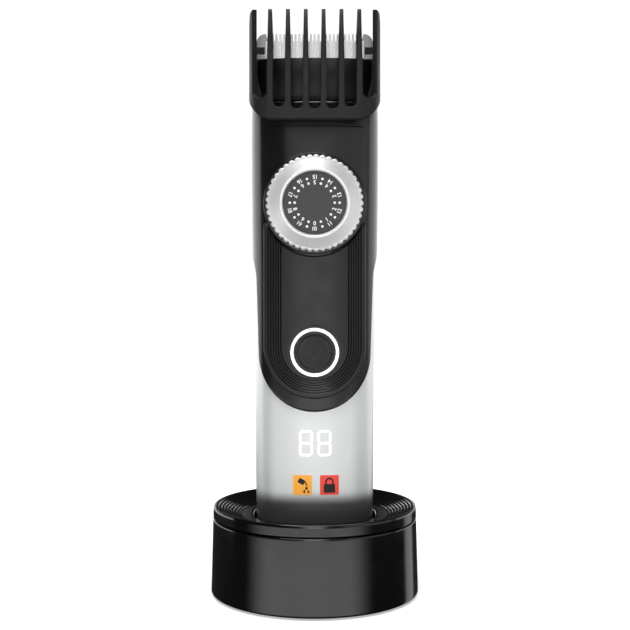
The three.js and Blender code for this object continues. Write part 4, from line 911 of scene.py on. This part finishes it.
def front_cover():
    rows = cover_rows()
    seam, lower = cover_border()
    near = np.array([0, 0.03, 0.08, 0.16, 0.26, 0.38, 0.52, 0.7])
    wide = 40
    net = []
    for edge, middle in rows:
        edge, middle = np.array(edge), np.array(middle)
        length = np.linalg.norm(middle - edge)
        near_here = near * min(1, length / 4)
        rest = np.linspace(near_here[-1], length, wide)[1:]
        shares = np.concatenate([near_here, rest]) / length
        net.append(edge + shares[:, None] * (middle - edge))
    net = np.array(net)
    flat = net.reshape(-1, 2)
    border = np.array([(seam[0][0] + 40, COVER_TOP), *seam, *lower, (0, TAIL_BOTTOM)])
    away = distance_to_line(flat, border)
    drop = edge_drop(away, COVER_EDGE)
    (left, right), (low, high), depth = LIFT_LINE
    z = flat[:, 1]
    sheets = []
    for side in (1, -1):
        s = flat[:, 0] * side
        at = COVER.points(s, z)
        groove = smooth(z, low - 0.12, low + 0.12) * (1 - smooth(z, high - 0.12, high + 0.12))
        groove = (groove * smooth(at[:, 0], left - 0.4, left + 0.3)
                  * (1 - smooth(at[:, 0], right - 0.3, right + 0.4)))
        outer = COVER.points(s, z, -drop - depth * groove)
        inner = COVER.points(s, z, -1.0 - 0.35 * groove)
        faces = grid_faces(len(rows), net.shape[1])
        if side < 0:
            faces = [tuple(reversed(face)) for face in faces]
        sheets.append((outer, inner, faces))
    outer = np.concatenate([sheet[0] for sheet in sheets])
    inner = np.concatenate([sheet[1] for sheet in sheets])
    count = len(flat)
    faces = sheets[0][2] + [tuple(i + count for i in face) for face in sheets[1][2]]
    skin = closed_sheet(outer, inner, faces)
    boss_r = DIAL_R + 0.9
    boss = turned_along_y(rounded([(boss_r, -10), (boss_r, DIAL_BACK + 0.4, 0.45), (6, DIAL_BACK + 0.4),
                                   (6, -10)], closed=True), DIAL_Z, closed=True, count=192)
    add_piece("front_cover_skin", merged(skin, boss), LOOKS["body_gloss"], "trimmer",
              ["front_cover"])


def rear_cover():
    split = float(COVER.at_y(SPLIT_Y + GAP / 2, 130.0))
    edges = np.array([0, 0.05, 0.15, 0.3, 0.5, 0.8])
    z = np.concatenate([COVER_BOTTOM + edges, np.arange(COVER_BOTTOM + 1.5, COVER_TOP - 1, 1.0),
                        (COVER_TOP - edges)[::-1]])
    whole = COVER.length
    s = np.concatenate([split + edges, np.linspace(split + 1.2, whole, 60)])
    net_z, net_s = np.meshgrid(z, s, indexing="ij")
    away = np.minimum(np.minimum(net_z - COVER_BOTTOM, COVER_TOP - net_z), net_s - split)
    drop = edge_drop(away, 0.5).reshape(-1)
    flat_s, flat_z = net_s.reshape(-1), net_z.reshape(-1)
    count = len(flat_s)
    faces = grid_faces(len(z), len(s))
    outer = np.concatenate([COVER.points(side * flat_s, flat_z, -drop) for side in (1, -1)])
    inner = np.concatenate([COVER.points(side * flat_s, flat_z, -1.6) for side in (1, -1)])
    faces += [tuple(i + count for i in reversed(face)) for face in faces]
    points, faces = closed_sheet(outer, inner, faces)
    mesh = bpy.data.meshes.new("rear")
    mesh.from_pydata((points * MM).tolist(), [], [tuple(map(int, f)) for f in faces])
    cleaned(mesh)
    for number in (1, 2):
        low, high = node_box(f"rear_screw_{number}")
        at_z = (low[2] + high[2]) / 2
        hole_points, hole_faces = turned_along_y([(2.6, high[1] - 1.2), (2.6, 30)], at_z, count=64)
        hole = bpy.data.meshes.new("hole")
        hole.from_pydata((hole_points * MM).tolist(), [], hole_faces)
        cleaned(hole)
        cutter = bpy.data.objects.new("hole", hole)
        bpy.context.scene.collection.objects.link(cutter)
        mesh = with_modifier(mesh, "BOOLEAN", operation="DIFFERENCE", solver="EXACT", object=cutter)
        bpy.data.objects.remove(cutter)
        screw(f"rear_screw_{number}", at_z, high[1])
    finished("rear_cover_skin", mesh, LOOKS["body_gloss"], "trimmer", ["rear_cover"])


def cover_lip():
    """The lip of the rear cover that closes the seam between the two covers from behind."""
    split = float(COVER.at_y(SPLIT_Y, 130.0))
    reach, inside, thick = 1.1, 1.65, 0.5
    z, s = np.meshgrid(np.linspace(COVER_BOTTOM + 0.8, COVER_TOP - 0.8, 30),
                       np.linspace(split - reach, split + reach, 5), indexing="ij")
    z, s = z.reshape(-1), s.reshape(-1)
    faces = grid_faces(30, 5)
    lip = closed_sheet(COVER.points(s, z, -inside), COVER.points(s, z, -inside - thick), faces)
    add_piece("cover_lip", mirrored(lip), LOOKS["inner_plastic"], "trimmer")


def screw(node, z, head_y):
    """A cross-head screw along Y, its head towards +Y, in a cup behind it; its cross recess is a dark plastic
    cross laid on the head as painted shade.
    """
    cup = turned_along_y([(2.6, head_y - 2.6), (2.6, head_y - 1.3)], z, count=48)
    head = turned_along_y(rounded([(0.3, head_y - 1.3), (2.15, head_y - 1.3), (2.15, head_y - 0.3, 0.25),
                                   (1.9, head_y, 0.2), (0.3, head_y)]), z, count=48)
    add_piece(node + "_head", head, LOOKS["zinc_steel"], "trimmer", [node])
    add_piece(node + "_cup", cup, LOOKS["inner_plastic"], "trimmer")
    # Painted shade: the cross recess is a near-black plastic cross over the steel head, standing for the
    # shade inside the recess.
    arm, reach = 0.28, 1.25
    cross = []
    for half_x, half_z in ((arm, reach), (reach, arm)):
        outline = [(-half_x, z - half_z), (half_x, z - half_z), (half_x, z + half_z), (-half_x, z + half_z)]
        rings = [np.array([(x, y, zz) for x, zz in outline]) for y in (head_y - 0.4, head_y + 0.02)]
        cross.append(loop_solid(rings))
    add_piece(node + "_recess_painted_shade", merged(*cross), LOOKS["inner_plastic"], "trimmer")


# ---------------------------------------------------------------- grip plate, button and ring
GROOVE_PITCH, GROOVES, FIRST_GROOVE = 0.8, 6, 10.8
PLATE_EDGE = 0.55


def grip_plate():
    """The raised plate: long grooves that follow its outline, cut round the dial and the button."""
    arc_z = PLATE_BOTTOM + PLATE_HALF_W
    dial_gap = DIAL_R + 1.2
    hole_r = LIGHT_R + 0.25
    inner_rho = 10.2
    edge_rho = PLATE_HALF_W - np.array([0, 0.02, 0.06, 0.12, 0.2, 0.3, 0.42, 0.55, 0.8])
    groove_rho = [FIRST_GROOVE + i * GROOVE_PITCH for i in range(GROOVES)]
    offsets = (0.25, 0.19, 0.1, 0, -0.1, -0.19, -0.25)
    rho = list(edge_rho) + [r + o for r in reversed(groove_rho) for o in offsets] + [inner_rho]
    blend = np.linspace(0, 1, 22)[1:]
    blend = np.concatenate([blend[:-1], [0.962, 0.975, 0.985, 0.993, 1.0]])
    turn_z = BUTTON_Z + hole_r + 1.2

    def top_at(x):
        return min(PLATE_TOP, DIAL_Z - math.sqrt(max(dial_gap**2 - x * x, 0)))

    rows = []
    for share in np.linspace(0, 1, 40):
        places = rho + [inner_rho * (1 - b) for b in blend]
        rows.append([(x, top_at(x) - share * (top_at(x) - turn_z)) for x in places])
    lead = [(inner_rho, z) for z in np.linspace(turn_z, arc_z, 8)[1:]]
    arc = [(inner_rho, t) for t in np.linspace(0, math.pi / 2, 30)[1:]]
    total = len(lead) + len(arc)
    for number, (kind, value) in enumerate([("lead", z) for _, z in lead] + [("arc", t) for _, t in arc]):
        hole_turn = math.pi / 2 - math.pi * (number + 1) / total
        hole = (hole_r * math.cos(hole_turn), BUTTON_Z + hole_r * math.sin(hole_turn))

        def along(r):
            if kind == "lead":
                return (r, value)
            return (r * math.cos(value), arc_z - r * math.sin(value))

        start = along(inner_rho)
        row = [along(r) for r in rho]
        row += [(start[0] + (hole[0] - start[0]) * b, start[1] + (hole[1] - start[1]) * b) for b in blend]
        rows.append(row)
    net = np.array(rows)
    columns = net.shape[1]
    # The row where the straight part ends meets the top of the hole, so its inner end moves there.
    pull = np.concatenate([np.zeros(len(rho)), blend**2])
    target = BUTTON_Z + hole_r
    for index in range(24, 40):
        weight = ((index - 24) / 15) ** 2
        net[index, :, 1] -= pull * weight * (turn_z - target)
    flat = net.reshape(-1, 2)
    x, z = flat[:, 0], flat[:, 1]
    below = z < arc_z
    rho_at = np.where(below, np.hypot(x, np.minimum(z - arc_z, 0)), x)
    away = PLATE_HALF_W - rho_at
    away = np.minimum(away, np.hypot(x, z - DIAL_Z) - dial_gap)
    away = np.minimum(away, np.hypot(x, z - BUTTON_Z) - hole_r)
    away = np.minimum(away, PLATE_TOP - z)
    drop = edge_drop(np.maximum(away, 0), PLATE_EDGE)
    turn = np.where(below, np.arctan2(arc_z - z, np.maximum(x, 1e-9)), 0)
    fade = 1 - 0.75 * smooth(turn, math.radians(25), math.radians(85))
    groove = np.zeros(len(flat))
    for r in groove_rho:
        groove = np.maximum(groove, np.clip(1 - np.abs(rho_at - r) / 0.23, 0, 1) ** 0.5)
    groove = groove * fade * 0.6
    outer, inner, faces = [], [], grid_faces(len(rows), columns)
    for side in (1, -1):
        outer.append(PLATE.front(side * x, z, -drop - groove))
        inner.append(PLATE.front(side * x, z, -1.5))
    both = faces + [tuple(i + len(flat) for i in reversed(face)) for face in faces]
    solid = closed_sheet(np.concatenate(outer), np.concatenate(inner), both)
    add_piece("grip_plate_skin", solid, LOOKS["grip_satin"], "trimmer", ["grip_plate"])


def power_button():
    """The light ring, the button with its raised edge, and the power sign engraved in outline."""
    ring = turned_along_y(rounded([(LIGHT_R - 0.95, BUTTON_FRONT - 0.1, 0.15),
                                   (LIGHT_R, BUTTON_FRONT - 0.1, 0.2),
                                   (LIGHT_R, -16), (LIGHT_R - 0.95, -16)], closed=True),
                          BUTTON_Z, closed=True, count=160)
    add_piece("light_ring_skin", ring, LOOKS["light_white"], "trimmer", ["light_ring"])
    edge = BUTTON_R
    face = rounded([(edge, -16.5), (edge, BUTTON_FRONT, 0.35), (edge - 0.75, BUTTON_FRONT + 0.02, 0.3),
                    (edge - 1.3, BUTTON_FRONT + 0.28, 0.6), (0.3, BUTTON_FRONT + 0.36)])
    button = turned_along_y([(0.3, -16.5)] + face, BUTTON_Z, count=160)
    add_piece("power_button_skin", button, LOOKS["button_black"], "button",
              ["power_button"])
    front = BUTTON_FRONT + 0.2
    width = 0.28
    solids = []
    open_turn = math.radians(28)
    sweep = np.linspace(math.pi / 2 + open_turn, 2.5 * math.pi - open_turn, 60)
    outer = [(4.0 * math.cos(t), 4.0 * math.sin(t)) for t in sweep]
    inner = [(2.9 * math.cos(t), 2.9 * math.sin(t)) for t in sweep[::-1]]
    solids += ribbon(outer + inner, width, front)
    cap = [(0.6 * math.cos(t), 4.1 + 0.6 * math.sin(t)) for t in np.linspace(0, math.pi, 9)]
    foot = [(0.6 * math.cos(t), 0.2 + 0.6 * math.sin(t)) for t in np.linspace(math.pi, 2 * math.pi, 9)]
    solids += ribbon(cap + foot, width, front)
    add_piece("power_sign", merged(*solids), LOOKS["inner_plastic"], "button")


def ribbon(outline, width, front):
    """A thin closed ribbon along an outline of (x, z) round the button's middle."""
    outline = np.asarray(outline, float)
    after, before = np.roll(outline, -1, axis=0), np.roll(outline, 1, axis=0)
    tangent = after - before
    tangent = tangent / np.linalg.norm(tangent, axis=1)[:, None]
    normal = np.stack([-tangent[:, 1], tangent[:, 0]], axis=-1) * width / 2
    loops = []
    for offset, y in ((1, front + 0.2), (1, front), (-1, front), (-1, front + 0.2)):
        flat = outline + normal * offset
        loops.append(np.stack([flat[:, 0], np.full(len(flat), y), flat[:, 1] + BUTTON_Z], axis=-1))
    return [loop_solid(loops, closed=True)]


# ---------------------------------------------------------------- dial
def dial_ring():
    """The knurled metal ring with its turned cone and polished inner rim."""
    per_lobe = 14
    count = DIAL_LOBES * per_lobe
    angle = np.linspace(0, 2 * math.pi, count, endpoint=False)
    lobe = np.abs(np.cos(angle * DIAL_LOBES / 2)) ** 0.8
    disc_r = 10.0
    corners = [
        (disc_r, DIAL_BACK, 0, 0), (DIAL_R - 0.5, DIAL_BACK, 0.2, 0.4), (DIAL_R, DIAL_BACK - 0.35, 0, 1),
        (DIAL_R, DIAL_BACK - 1.5, 0, 1), (DIAL_R - 0.12, DIAL_BACK - 1.8, 0, 1),
        (DIAL_R - 0.35, DIAL_BACK - 1.98, 0, 0.8), (DIAL_R - 0.75, DIAL_BACK - 2.08, 0, 0.25),
        (DIAL_R - 0.95, DIAL_BACK - 2.1, 0, 0),
    ]
    profile = [(r, y, share) for r, y, _, share in corners]
    rings = 9
    start, end = (DIAL_R - 1.1, DIAL_BACK - 2.14), (disc_r + 1.25, DIAL_FRONT + 0.1)
    for k in range(rings):
        for part, dip in ((0.0, 0.0), (0.42, 0.0), (0.6, 0.13), (0.78, 0.0)):
            t = (k + part) / rings
            profile.append((start[0] + (end[0] - start[0]) * t, start[1] + (end[1] - start[1]) * t + dip, 0))
    rim = rounded([end, (disc_r + 1.05, DIAL_FRONT, 0.15), (disc_r + 0.35, DIAL_FRONT, 0.2),
                   (disc_r, DIAL_FRONT + 0.75, 0.2), (disc_r, DIAL_BACK)])
    profile += [(r, y, 0) for r, y in rim[:-1]]
    loops = []
    for r, y, share in profile:
        radii = r - 0.65 * share * (1 - lobe)
        loops.append(np.stack([radii * np.cos(angle), np.full(count, y), radii * np.sin(angle) + DIAL_Z], -1))
    add_piece("dial_ring_skin", loop_solid(loops, closed=True), LOOKS["dial_metal"], "dial",
              ["dial_ring"], sharp=30)


def dial_disc():
    """The dial's face with its numbers and the dots between them."""
    face = DISC_FRONT
    disc = turned_along_y(rounded([(0.4, face + 1.2), (9.95, face + 1.2), (9.95, face, 0.15), (0.4, face)]),
                          DIAL_Z, count=160)
    add_piece("dial_disc_skin", disc, LOOKS["dial_disc"], "dial", ["dial_disc"])
    dots = []
    for k in range(10):
        turn = math.radians(-90 + 18 + 36 * k)
        for radius in (6.3, 7.85):
            x, z = radius * math.cos(turn), DIAL_Z + radius * math.sin(turn)
            profile = rounded([(0.1, face + 0.1), (0.4, face + 0.1), (0.4, face - 0.04, 0.04),
                               (0.1, face - 0.04)], steps=2)
            dots.append(turned_along_y(profile, z, count=20, x=x))
    add_piece("dial_dots", merged(*dots), LOOKS["dial_print"], "dial")
    for k in range(10):
        for number, radius, height in ((k, 6.45, 1.25), (k + 10, 8.15, 1.25)):
            dial_number(number, radius, height, -90 + 36 * k)


def dial_number(number, radius, height, degrees):
    """One number on the dial, its top towards the middle."""
    curve = bpy.data.curves.new(f"dial_number_{number}", "FONT")
    curve.body = str(number)
    curve.size = 1.45 * height * MM
    curve.extrude = 0.05 * MM
    curve.offset = 0.03 * MM
    curve.resolution_u = 3
    curve.space_character = 0.9
    holder = bpy.data.objects.new("holder", curve)
    bpy.context.scene.collection.objects.link(holder)
    bpy.context.view_layer.update()
    mesh = bpy.data.meshes.new_from_object(holder.evaluated_get(bpy.context.evaluated_depsgraph_get()))
    bpy.data.objects.remove(holder)
    points = np.array([v.co for v in mesh.vertices])
    points = (points - (points.min(0) + points.max(0)) / 2) / MM
    turn = math.radians(degrees + 90)
    x = points[:, 0] * math.cos(turn) - points[:, 1] * math.sin(turn)
    z = points[:, 0] * math.sin(turn) + points[:, 1] * math.cos(turn)
    x = x + radius * math.cos(math.radians(degrees))
    z = z + radius * math.sin(math.radians(degrees)) + DIAL_Z
    y = DISC_FRONT - points[:, 2]
    moved = np.stack([x, y, z], axis=-1) * MM
    mesh.vertices.foreach_set("co", moved.reshape(-1))
    cleaned(mesh, 1e-8)
    finished(f"dial_number_{number}", mesh, LOOKS["dial_print"], "dial", sharp=30)


# ---------------------------------------------------------------- comb
FIN_X = [(i - 2.5) * FIN_PITCH for i in range(6)]
TINE_X = COMB_HALF_W - COMB_WALL   # inner face of the outer tines
SLOT_LOW, SLOT_HIGH = 157.9, 161.4
COMB_CORNER = 8.0              # round lower corners of the comb's bridge
TIP_CORNER = 1.5               # round outer corners of the outer tines


def comb_slots():
    """The slots between the fins as (middle x, half width, bottom z), for x > 0 and the middle one."""
    half_fin = 0.98
    edges = [x + half_fin for x in FIN_X]
    slots = [(0.0, FIN_X[3] - half_fin, SLOT_LOW)]
    for i in (3, 4):
        low, high = edges[i], FIN_X[i + 1] - half_fin
        slots.append(((low + high) / 2, (high - low) / 2, SLOT_LOW + (0.6 if i == 4 else 0)))
    low, high = edges[5], TINE_X
    slots.append(((low + high) / 2, (high - low) / 2, SLOT_HIGH))
    return slots


def bridge_top(x):
    """The top of the comb's bridge in the front view, with the round bottoms of the slots."""
    x = abs(x)
    top = 0.0
    for middle, half, bottom in comb_slots():
        if abs(x - middle) <= half:
            return bottom + half - math.sqrt(max(half**2 - (x - middle) ** 2, 0))
        top = max(top, bottom + half) if x > middle - half else top
    return top


def bridge_bottom(x):
    corner = COMB_CORNER
    inside = COMB_HALF_W - corner
    if abs(x) <= inside:
        return COMB_BOTTOM
    return COMB_BOTTOM + corner - math.sqrt(max(corner**2 - (min(abs(x), COMB_HALF_W) - inside) ** 2, 0))


def side_top(y):
    """The height of the comb's side wall and outer tine at a depth y."""
    line = [(-17.6, COMB_TIP), (-15.4, COMB_TIP - 0.6), (-9.6, 183.2), (-6.6, 178.2), (-2, 175.6),
            (0.8, 174.5)]
    return float(np.interp(y, [p[0] for p in line], [p[1] for p in line]))


def side_bottom(y, z_corner):
    line = [(-12.0, z_corner), (-9.6, 164.2), (0.8, 164.6)]
    return float(np.interp(y, [p[0] for p in line], [p[1] for p in line]))


def comb_wall():
    """The bridge across the front with the walls at its sides, as one bent sheet."""
    slots = comb_slots()
    marks = set(np.linspace(0, slots[0][1], 9))
    for middle, half, _ in slots[1:]:
        marks |= set(middle - half * np.cos(np.linspace(0, math.pi, 17)))
    for i in (3, 4, 5):
        marks |= set(FIN_X[i] + np.linspace(-0.9, 0.9, 5))
    front_x = sorted(x for x in marks if x <= TINE_X + 1e-6)
    corner_z = COMB_BOTTOM + COMB_CORNER
    start = float(COMB.at_x(TINE_X, 170.0))
    end = float(COMB.at_y(0.8, 170.0))
    side_s = np.linspace(start, end, 40)
    rows = 14
    bands = []
    for x in front_x:
        s = float(COMB.at_x(x, 170.0))
        bands.append((s, bridge_bottom(x), bridge_top(x)))
    joint_z = SLOT_HIGH + slots[-1][1]
    for s in side_s[1:]:
        x, y, _ = COMB.points(s, 170.0)
        low = bridge_bottom(x) if y < -12 else max(bridge_bottom(x), side_bottom(y, corner_z))
        bands.append((s, low, max(joint_z, low + 0.6)))
    net = []
    for s, low, high in bands:
        edge = [0, 0.04, 0.12, 0.25, 0.45, 0.7]
        span = high - low
        first, last = (0.9, 0.6) if span > 2 else (0.7, 0.3)
        inner = list(np.linspace(first, span - last, rows))
        places = [e * min(1, span / 3) for e in edge] + inner
        places += [span - e for e in ((0.35, 0.2, 0.1, 0.03, 0) if span > 2 else (0.25, 0.15, 0.08, 0.03, 0))]
        net.append([(s, low + p) for p in sorted(places)])
    net = np.array(net)
    flat = net.reshape(-1, 2)
    rim = np.array([(s, low) for s, low, _ in bands])
    drop = edge_drop(distance_to_line(flat, rim), 0.8)
    top_line = np.array([(s, high) for s, _, high in bands if s <= start + 1e-6])
    drop = np.maximum(drop, edge_drop(distance_to_line(flat, top_line), 0.3))
    count = len(flat)
    faces = grid_faces(len(bands), net.shape[1])
    outer = np.concatenate([COMB.points(side * flat[:, 0], flat[:, 1], -drop) for side in (1, -1)])
    inner = np.concatenate([COMB.points(side * flat[:, 0], flat[:, 1], -COMB_WALL) for side in (1, -1)])
    both = faces + [tuple(i + count for i in reversed(face)) for face in faces]
    band = closed_sheet(outer, inner, both)

    net = []
    for s in side_s:
        x, y, _ = COMB.points(s, 170.0)
        low = max(joint_z, side_bottom(y, corner_z) + 0.6) - 0.8
        high = side_top(max(y, -17.6))
        edge = [0.35, 0.2, 0.1, 0.03, 0]
        places = list(np.linspace(low, high - 0.6, 30)) + [high - e for e in edge]
        net.append([(s, p) for p in places])
    net = np.array(net)
    flat = net.reshape(-1, 2)
    top_line = np.array([(column[-1][0], column[-1][1]) for column in net])
    away = np.minimum(distance_to_line(flat, top_line), flat[:, 0] - start)
    away = np.minimum(away, end - flat[:, 0])
    drop = edge_drop(np.maximum(away, 0), 0.35) + 0.02
    faces = grid_faces(len(side_s), net.shape[1])
    outer = COMB.points(flat[:, 0], flat[:, 1], -drop)
    inner = COMB.points(flat[:, 0], flat[:, 1], -COMB_WALL)
    up = np.clip(outer[:, 2] - (COMB_TIP - TIP_CORNER), 0, TIP_CORNER)
    limit = COMB_HALF_W - TIP_CORNER + np.sqrt(TIP_CORNER**2 - up**2)
    outer[:, 0] = np.minimum(outer[:, 0], limit)
    wall = closed_sheet(outer, inner, faces)
    return [band, mirrored(wall)]


def fin(x):
    """One deep fin, thinner towards its tip."""
    front = float(COMB.front(x, 165.0)[1])
    corners = [
        (front + 1.0, 155.2, 1), (front + 0.05, 157.5, 1), (front, 165, 20), (front - 0.3, 172, 20),
        (front - 0.3, 182, 12), (front + 0.9, 186.8, 5), (-19.4, COMB_TIP, 1.2), (-17.2, COMB_TIP, 1.0),
        (-13.2, 187, 6), (-9.4, 184.4, 2), (-9.2, 179.2, 1.5), (-13.2, 177.4, 3), (-15.6, 170, 8),
        (-17.8, 162, 6), (front + 2.2, 156.5, 1),
    ]
    return rounded_slab(rounded(corners, steps=4, closed=True), fin_half_width, 0.22, x)


def fin_half_width(z):
    return 0.98 - 0.36 * smooth(z, 168, 190)


def comb_lugs():
    """The right lug that holds a prong of the carriage, the web behind the blades, and the gusset."""
    middle, half_w = 17.7, 2.2
    ribs = [[(-5.6, 165.5), (-4.7, 165.5), (-4.7, 172.0), (-5.6, 172.0)],
            [(-0.1, 165.5), (0.8, 165.5), (0.8, 182.0), (-0.1, 182.0)]]
    roof = [(-5.6, 171.3), (0.8, 171.3), (0.8, 173.3), (-5.6, 173.3)]
    lugs = [
        rounded_slab(rounded([(y, z, 0.25) for y, z in outline], steps=3, closed=True),
                     lambda z: np.full(len(z), half_w), 0.2, middle)
        for outline in [*ribs, roof]
    ]
    outline = [(16.9, 161, 0.2), (20.0, 161), (20.0, 174, 0.2), (19, 172, 1), (17.2, 163, 1)]
    outline = rounded(outline, steps=3, closed=True)
    rings = [np.array([(x, y, z) for x, z in outline]) for y in (-14.2, -12.8)]
    return lugs + [loop_solid(rings)]


def guide_comb():
    solids = comb_wall() + [fin(x) for x in FIN_X] + [mirrored(solid) for solid in comb_lugs()]
    add_piece("guide_comb_skin", merged(*solids), LOOKS["comb_satin"], "comb",
              ["guide_comb"])


# ---------------------------------------------------------------- head, blades and drive
def head_parts():
    softened("head_housing", LOOKS["head_black"], "trimmer", 0.3)
    softened("fixed_blade", LOOKS["zinc_steel"], "trimmer", 0.06, 1, 20)
    softened("moving_cutter", LOOKS["blade_steel"], "cutter", 0.05, 1, 20)
    softened("drive_fork", LOOKS["nylon"], "cutter", 0.15)
    softened("cutter_spring", LOOKS["zinc_steel"], "trimmer", 0.06)
    for number in (1, 2):
        softened(f"blade_screw_{number}", LOOKS["zinc_steel"], "trimmer", 0.15)
    softened("comb_carriage", LOOKS["inner_plastic"], "carriage", 0.1)


# ---------------------------------------------------------------- stage
def pale_floor():
    """A wide pale floor that fades into the backdrop."""
    mesh = solid_mesh("floor", turned([(900, -1.0), (900, 0.0), (0.5, 0.0)], count=96))
    floor = bpy.data.objects.new("floor", mesh)
    bpy.context.scene.collection.objects.link(floor)
    material, tree, shader, place = new_material("floor_paper")
    paper = noise(tree, place, 90, 4)
    tree.links.new(mixed_colour(tree, paper, (0.90, 0.90, 0.90), (0.93, 0.93, 0.93)),
                   shader.inputs["Base Color"])
    shader.inputs["Roughness"].default_value = 0.9
    shader.inputs["Specular IOR Level"].default_value = 0.0
    shader.inputs["Emission Color"].default_value = (1, 1, 1, 1)
    away = tree.nodes.new("ShaderNodeVectorMath")
    away.operation = "LENGTH"
    tree.links.new(place, away.inputs[0])
    glow = remap(tree, away.outputs["Value"], 0.45, 1.1, 0.05, 0.4)
    tree.links.new(glow, shader.inputs["Emission Strength"])
    mesh.materials.append(material)
    floor.visible_glossy = False


def softbox(name, place, target, size, power, colour=(1, 1, 1)):
    """A rectangular studio light aimed at a point. place, target and size are in metres."""
    light = bpy.data.lights.new(name, "AREA")
    light.shape = "RECTANGLE"
    light.size, light.size_y = size
    light.energy = power
    light.color = colour
    holder = bpy.data.objects.new(name, light)
    holder.location = place
    holder.rotation_euler = (Vector(target) - Vector(place)).to_track_quat("-Z", "Y").to_euler()
    bpy.context.scene.collection.objects.link(holder)
    return holder


# Soft cards seen in reflections: azimuth range and elevation range in degrees, each with the width of
# its soft edge, and brightness. Azimuth is 0 towards -Y and 90 towards +X.
CARDS = [
    ((-66, 52, 34), (-24, -8.5, 2), 1.6),
    ((120, 140, 8), (-28, -7, 3), 0.85),
    ((-26, 30, 14), (-8.5, -6.5, 2), 0.4),
    ((-11, 10, 13), (-6, 3.5, 3), 3.2),
    ((-26, 34, 14), (3, 16, 4), 0.8),
    ((34, 96, 14), (-7, 16, 5), 0.7),
    ((-175, -102, 5), (-8, 13, 5), 1.8),
    ((102, 175, 5), (-8, 13, 5), 1.2),
]
SURROUND = 0.035               # brightness of the surroundings between the cards


def card(tree, azimuth, elevation, ranges):
    """The soft steps at the four edges of one card, each 0 outside it and 1 inside."""
    edges = []
    for value, (low, high, soft) in zip((azimuth, elevation), ranges):
        for start, end in ((low - soft / 2, low + soft / 2), (high + soft / 2, high - soft / 2)):
            step = tree.nodes.new("ShaderNodeMapRange")
            step.interpolation_type = "SMOOTHSTEP"
            step.inputs["From Min"].default_value = min(start, end)
            step.inputs["From Max"].default_value = max(start, end)
            step.inputs["To Min"].default_value = 0.0 if start < end else 1.0
            step.inputs["To Max"].default_value = 1.0 if start < end else 0.0
            tree.links.new(value, step.inputs["Value"])
            edges.append(step.outputs["Result"])
    return edges


def math_node(tree, operation, first, second=None):
    """One sum on one or two outputs or numbers."""
    node = tree.nodes.new("ShaderNodeMath")
    node.operation = operation
    for socket, value in zip(node.inputs, (first, second)):
        if isinstance(value, bpy.types.NodeSocket):
            tree.links.new(value, socket)
        elif value is not None:
            socket.default_value = value
    return node.outputs["Value"]


def world_light():
    """A white backdrop for the camera; dim surroundings with soft cards for everything else."""
    world = bpy.data.worlds.new("studio")
    bpy.context.scene.world = world
    world.use_nodes = True
    tree = world.node_tree
    tree.nodes.clear()
    place = tree.nodes.new("ShaderNodeTexCoord")
    split = tree.nodes.new("ShaderNodeSeparateXYZ")
    tree.links.new(place.outputs["Generated"], split.inputs["Vector"])
    back = math_node(tree, "MULTIPLY", split.outputs["Y"], -1.0)
    turn = math_node(tree, "ARCTAN2", split.outputs["X"], back)
    azimuth = math_node(tree, "DEGREES", turn)
    rise = math_node(tree, "ARCSINE", split.outputs["Z"])
    elevation = math_node(tree, "DEGREES", rise)
    total = SURROUND
    for *ranges, strength in CARDS:
        level = strength
        for edge in card(tree, azimuth, elevation, ranges):
            level = math_node(tree, "MULTIPLY", edge, level)
        total = math_node(tree, "ADD", level, total)
    out = tree.nodes.new("ShaderNodeOutputWorld")
    mix = tree.nodes.new("ShaderNodeMixShader")
    path = tree.nodes.new("ShaderNodeLightPath")
    cards = tree.nodes.new("ShaderNodeBackground")
    tree.links.new(total, cards.inputs["Strength"])
    cards.inputs["Color"].default_value = (1, 1, 1, 1)
    white = tree.nodes.new("ShaderNodeBackground")
    white.inputs["Color"].default_value = (1, 1, 1, 1)
    white.inputs["Strength"].default_value = 1.05
    tree.links.new(path.outputs["Is Camera Ray"], mix.inputs["Fac"])
    tree.links.new(cards.outputs["Background"], mix.inputs[1])
    tree.links.new(white.outputs["Background"], mix.inputs[2])
    tree.links.new(mix.outputs["Shader"], out.inputs["Surface"])


def studio():
    """The backdrop and the softboxes, all high enough to stay out of the upright faces' reflections."""
    world_light()
    middle = (0, 0, 0.1)
    softbox("front_box", (-0.15, -0.40, 0.98), middle, (0.7, 0.35), 6.5)
    softbox("top_box", (0.1, 0.1, 0.95), middle, (0.7, 0.7), 4)
    scene = bpy.context.scene
    scene.view_settings.view_transform = "Standard"
    scene.view_settings.look = "None"


def camera():
    """The viewing angle: level and straight at the dial side, with the view shifted down to the dock."""
    data = bpy.data.cameras.new("camera")
    data.sensor_width = 36
    data.lens = 67.14
    data.shift_y = -0.0794
    holder = bpy.data.objects.new("camera", data)
    holder.location = (0.0001, -0.392, 0.1085)
    holder.rotation_euler = (math.radians(90), 0, 0)
    bpy.context.scene.collection.objects.link(holder)
    bpy.context.scene.camera = holder


# ---------------------------------------------------------------- making it all
camera()
studio()
pale_floor()
paint_cad_nodes()
dock_shell()
dock_dish()
dock_under()
lower_housing()
bottom_cap()
display()
front_cover()
rear_cover()
cover_lip()
grip_plate()
power_button()
dial_ring()
dial_disc()
guide_comb()
head_parts()
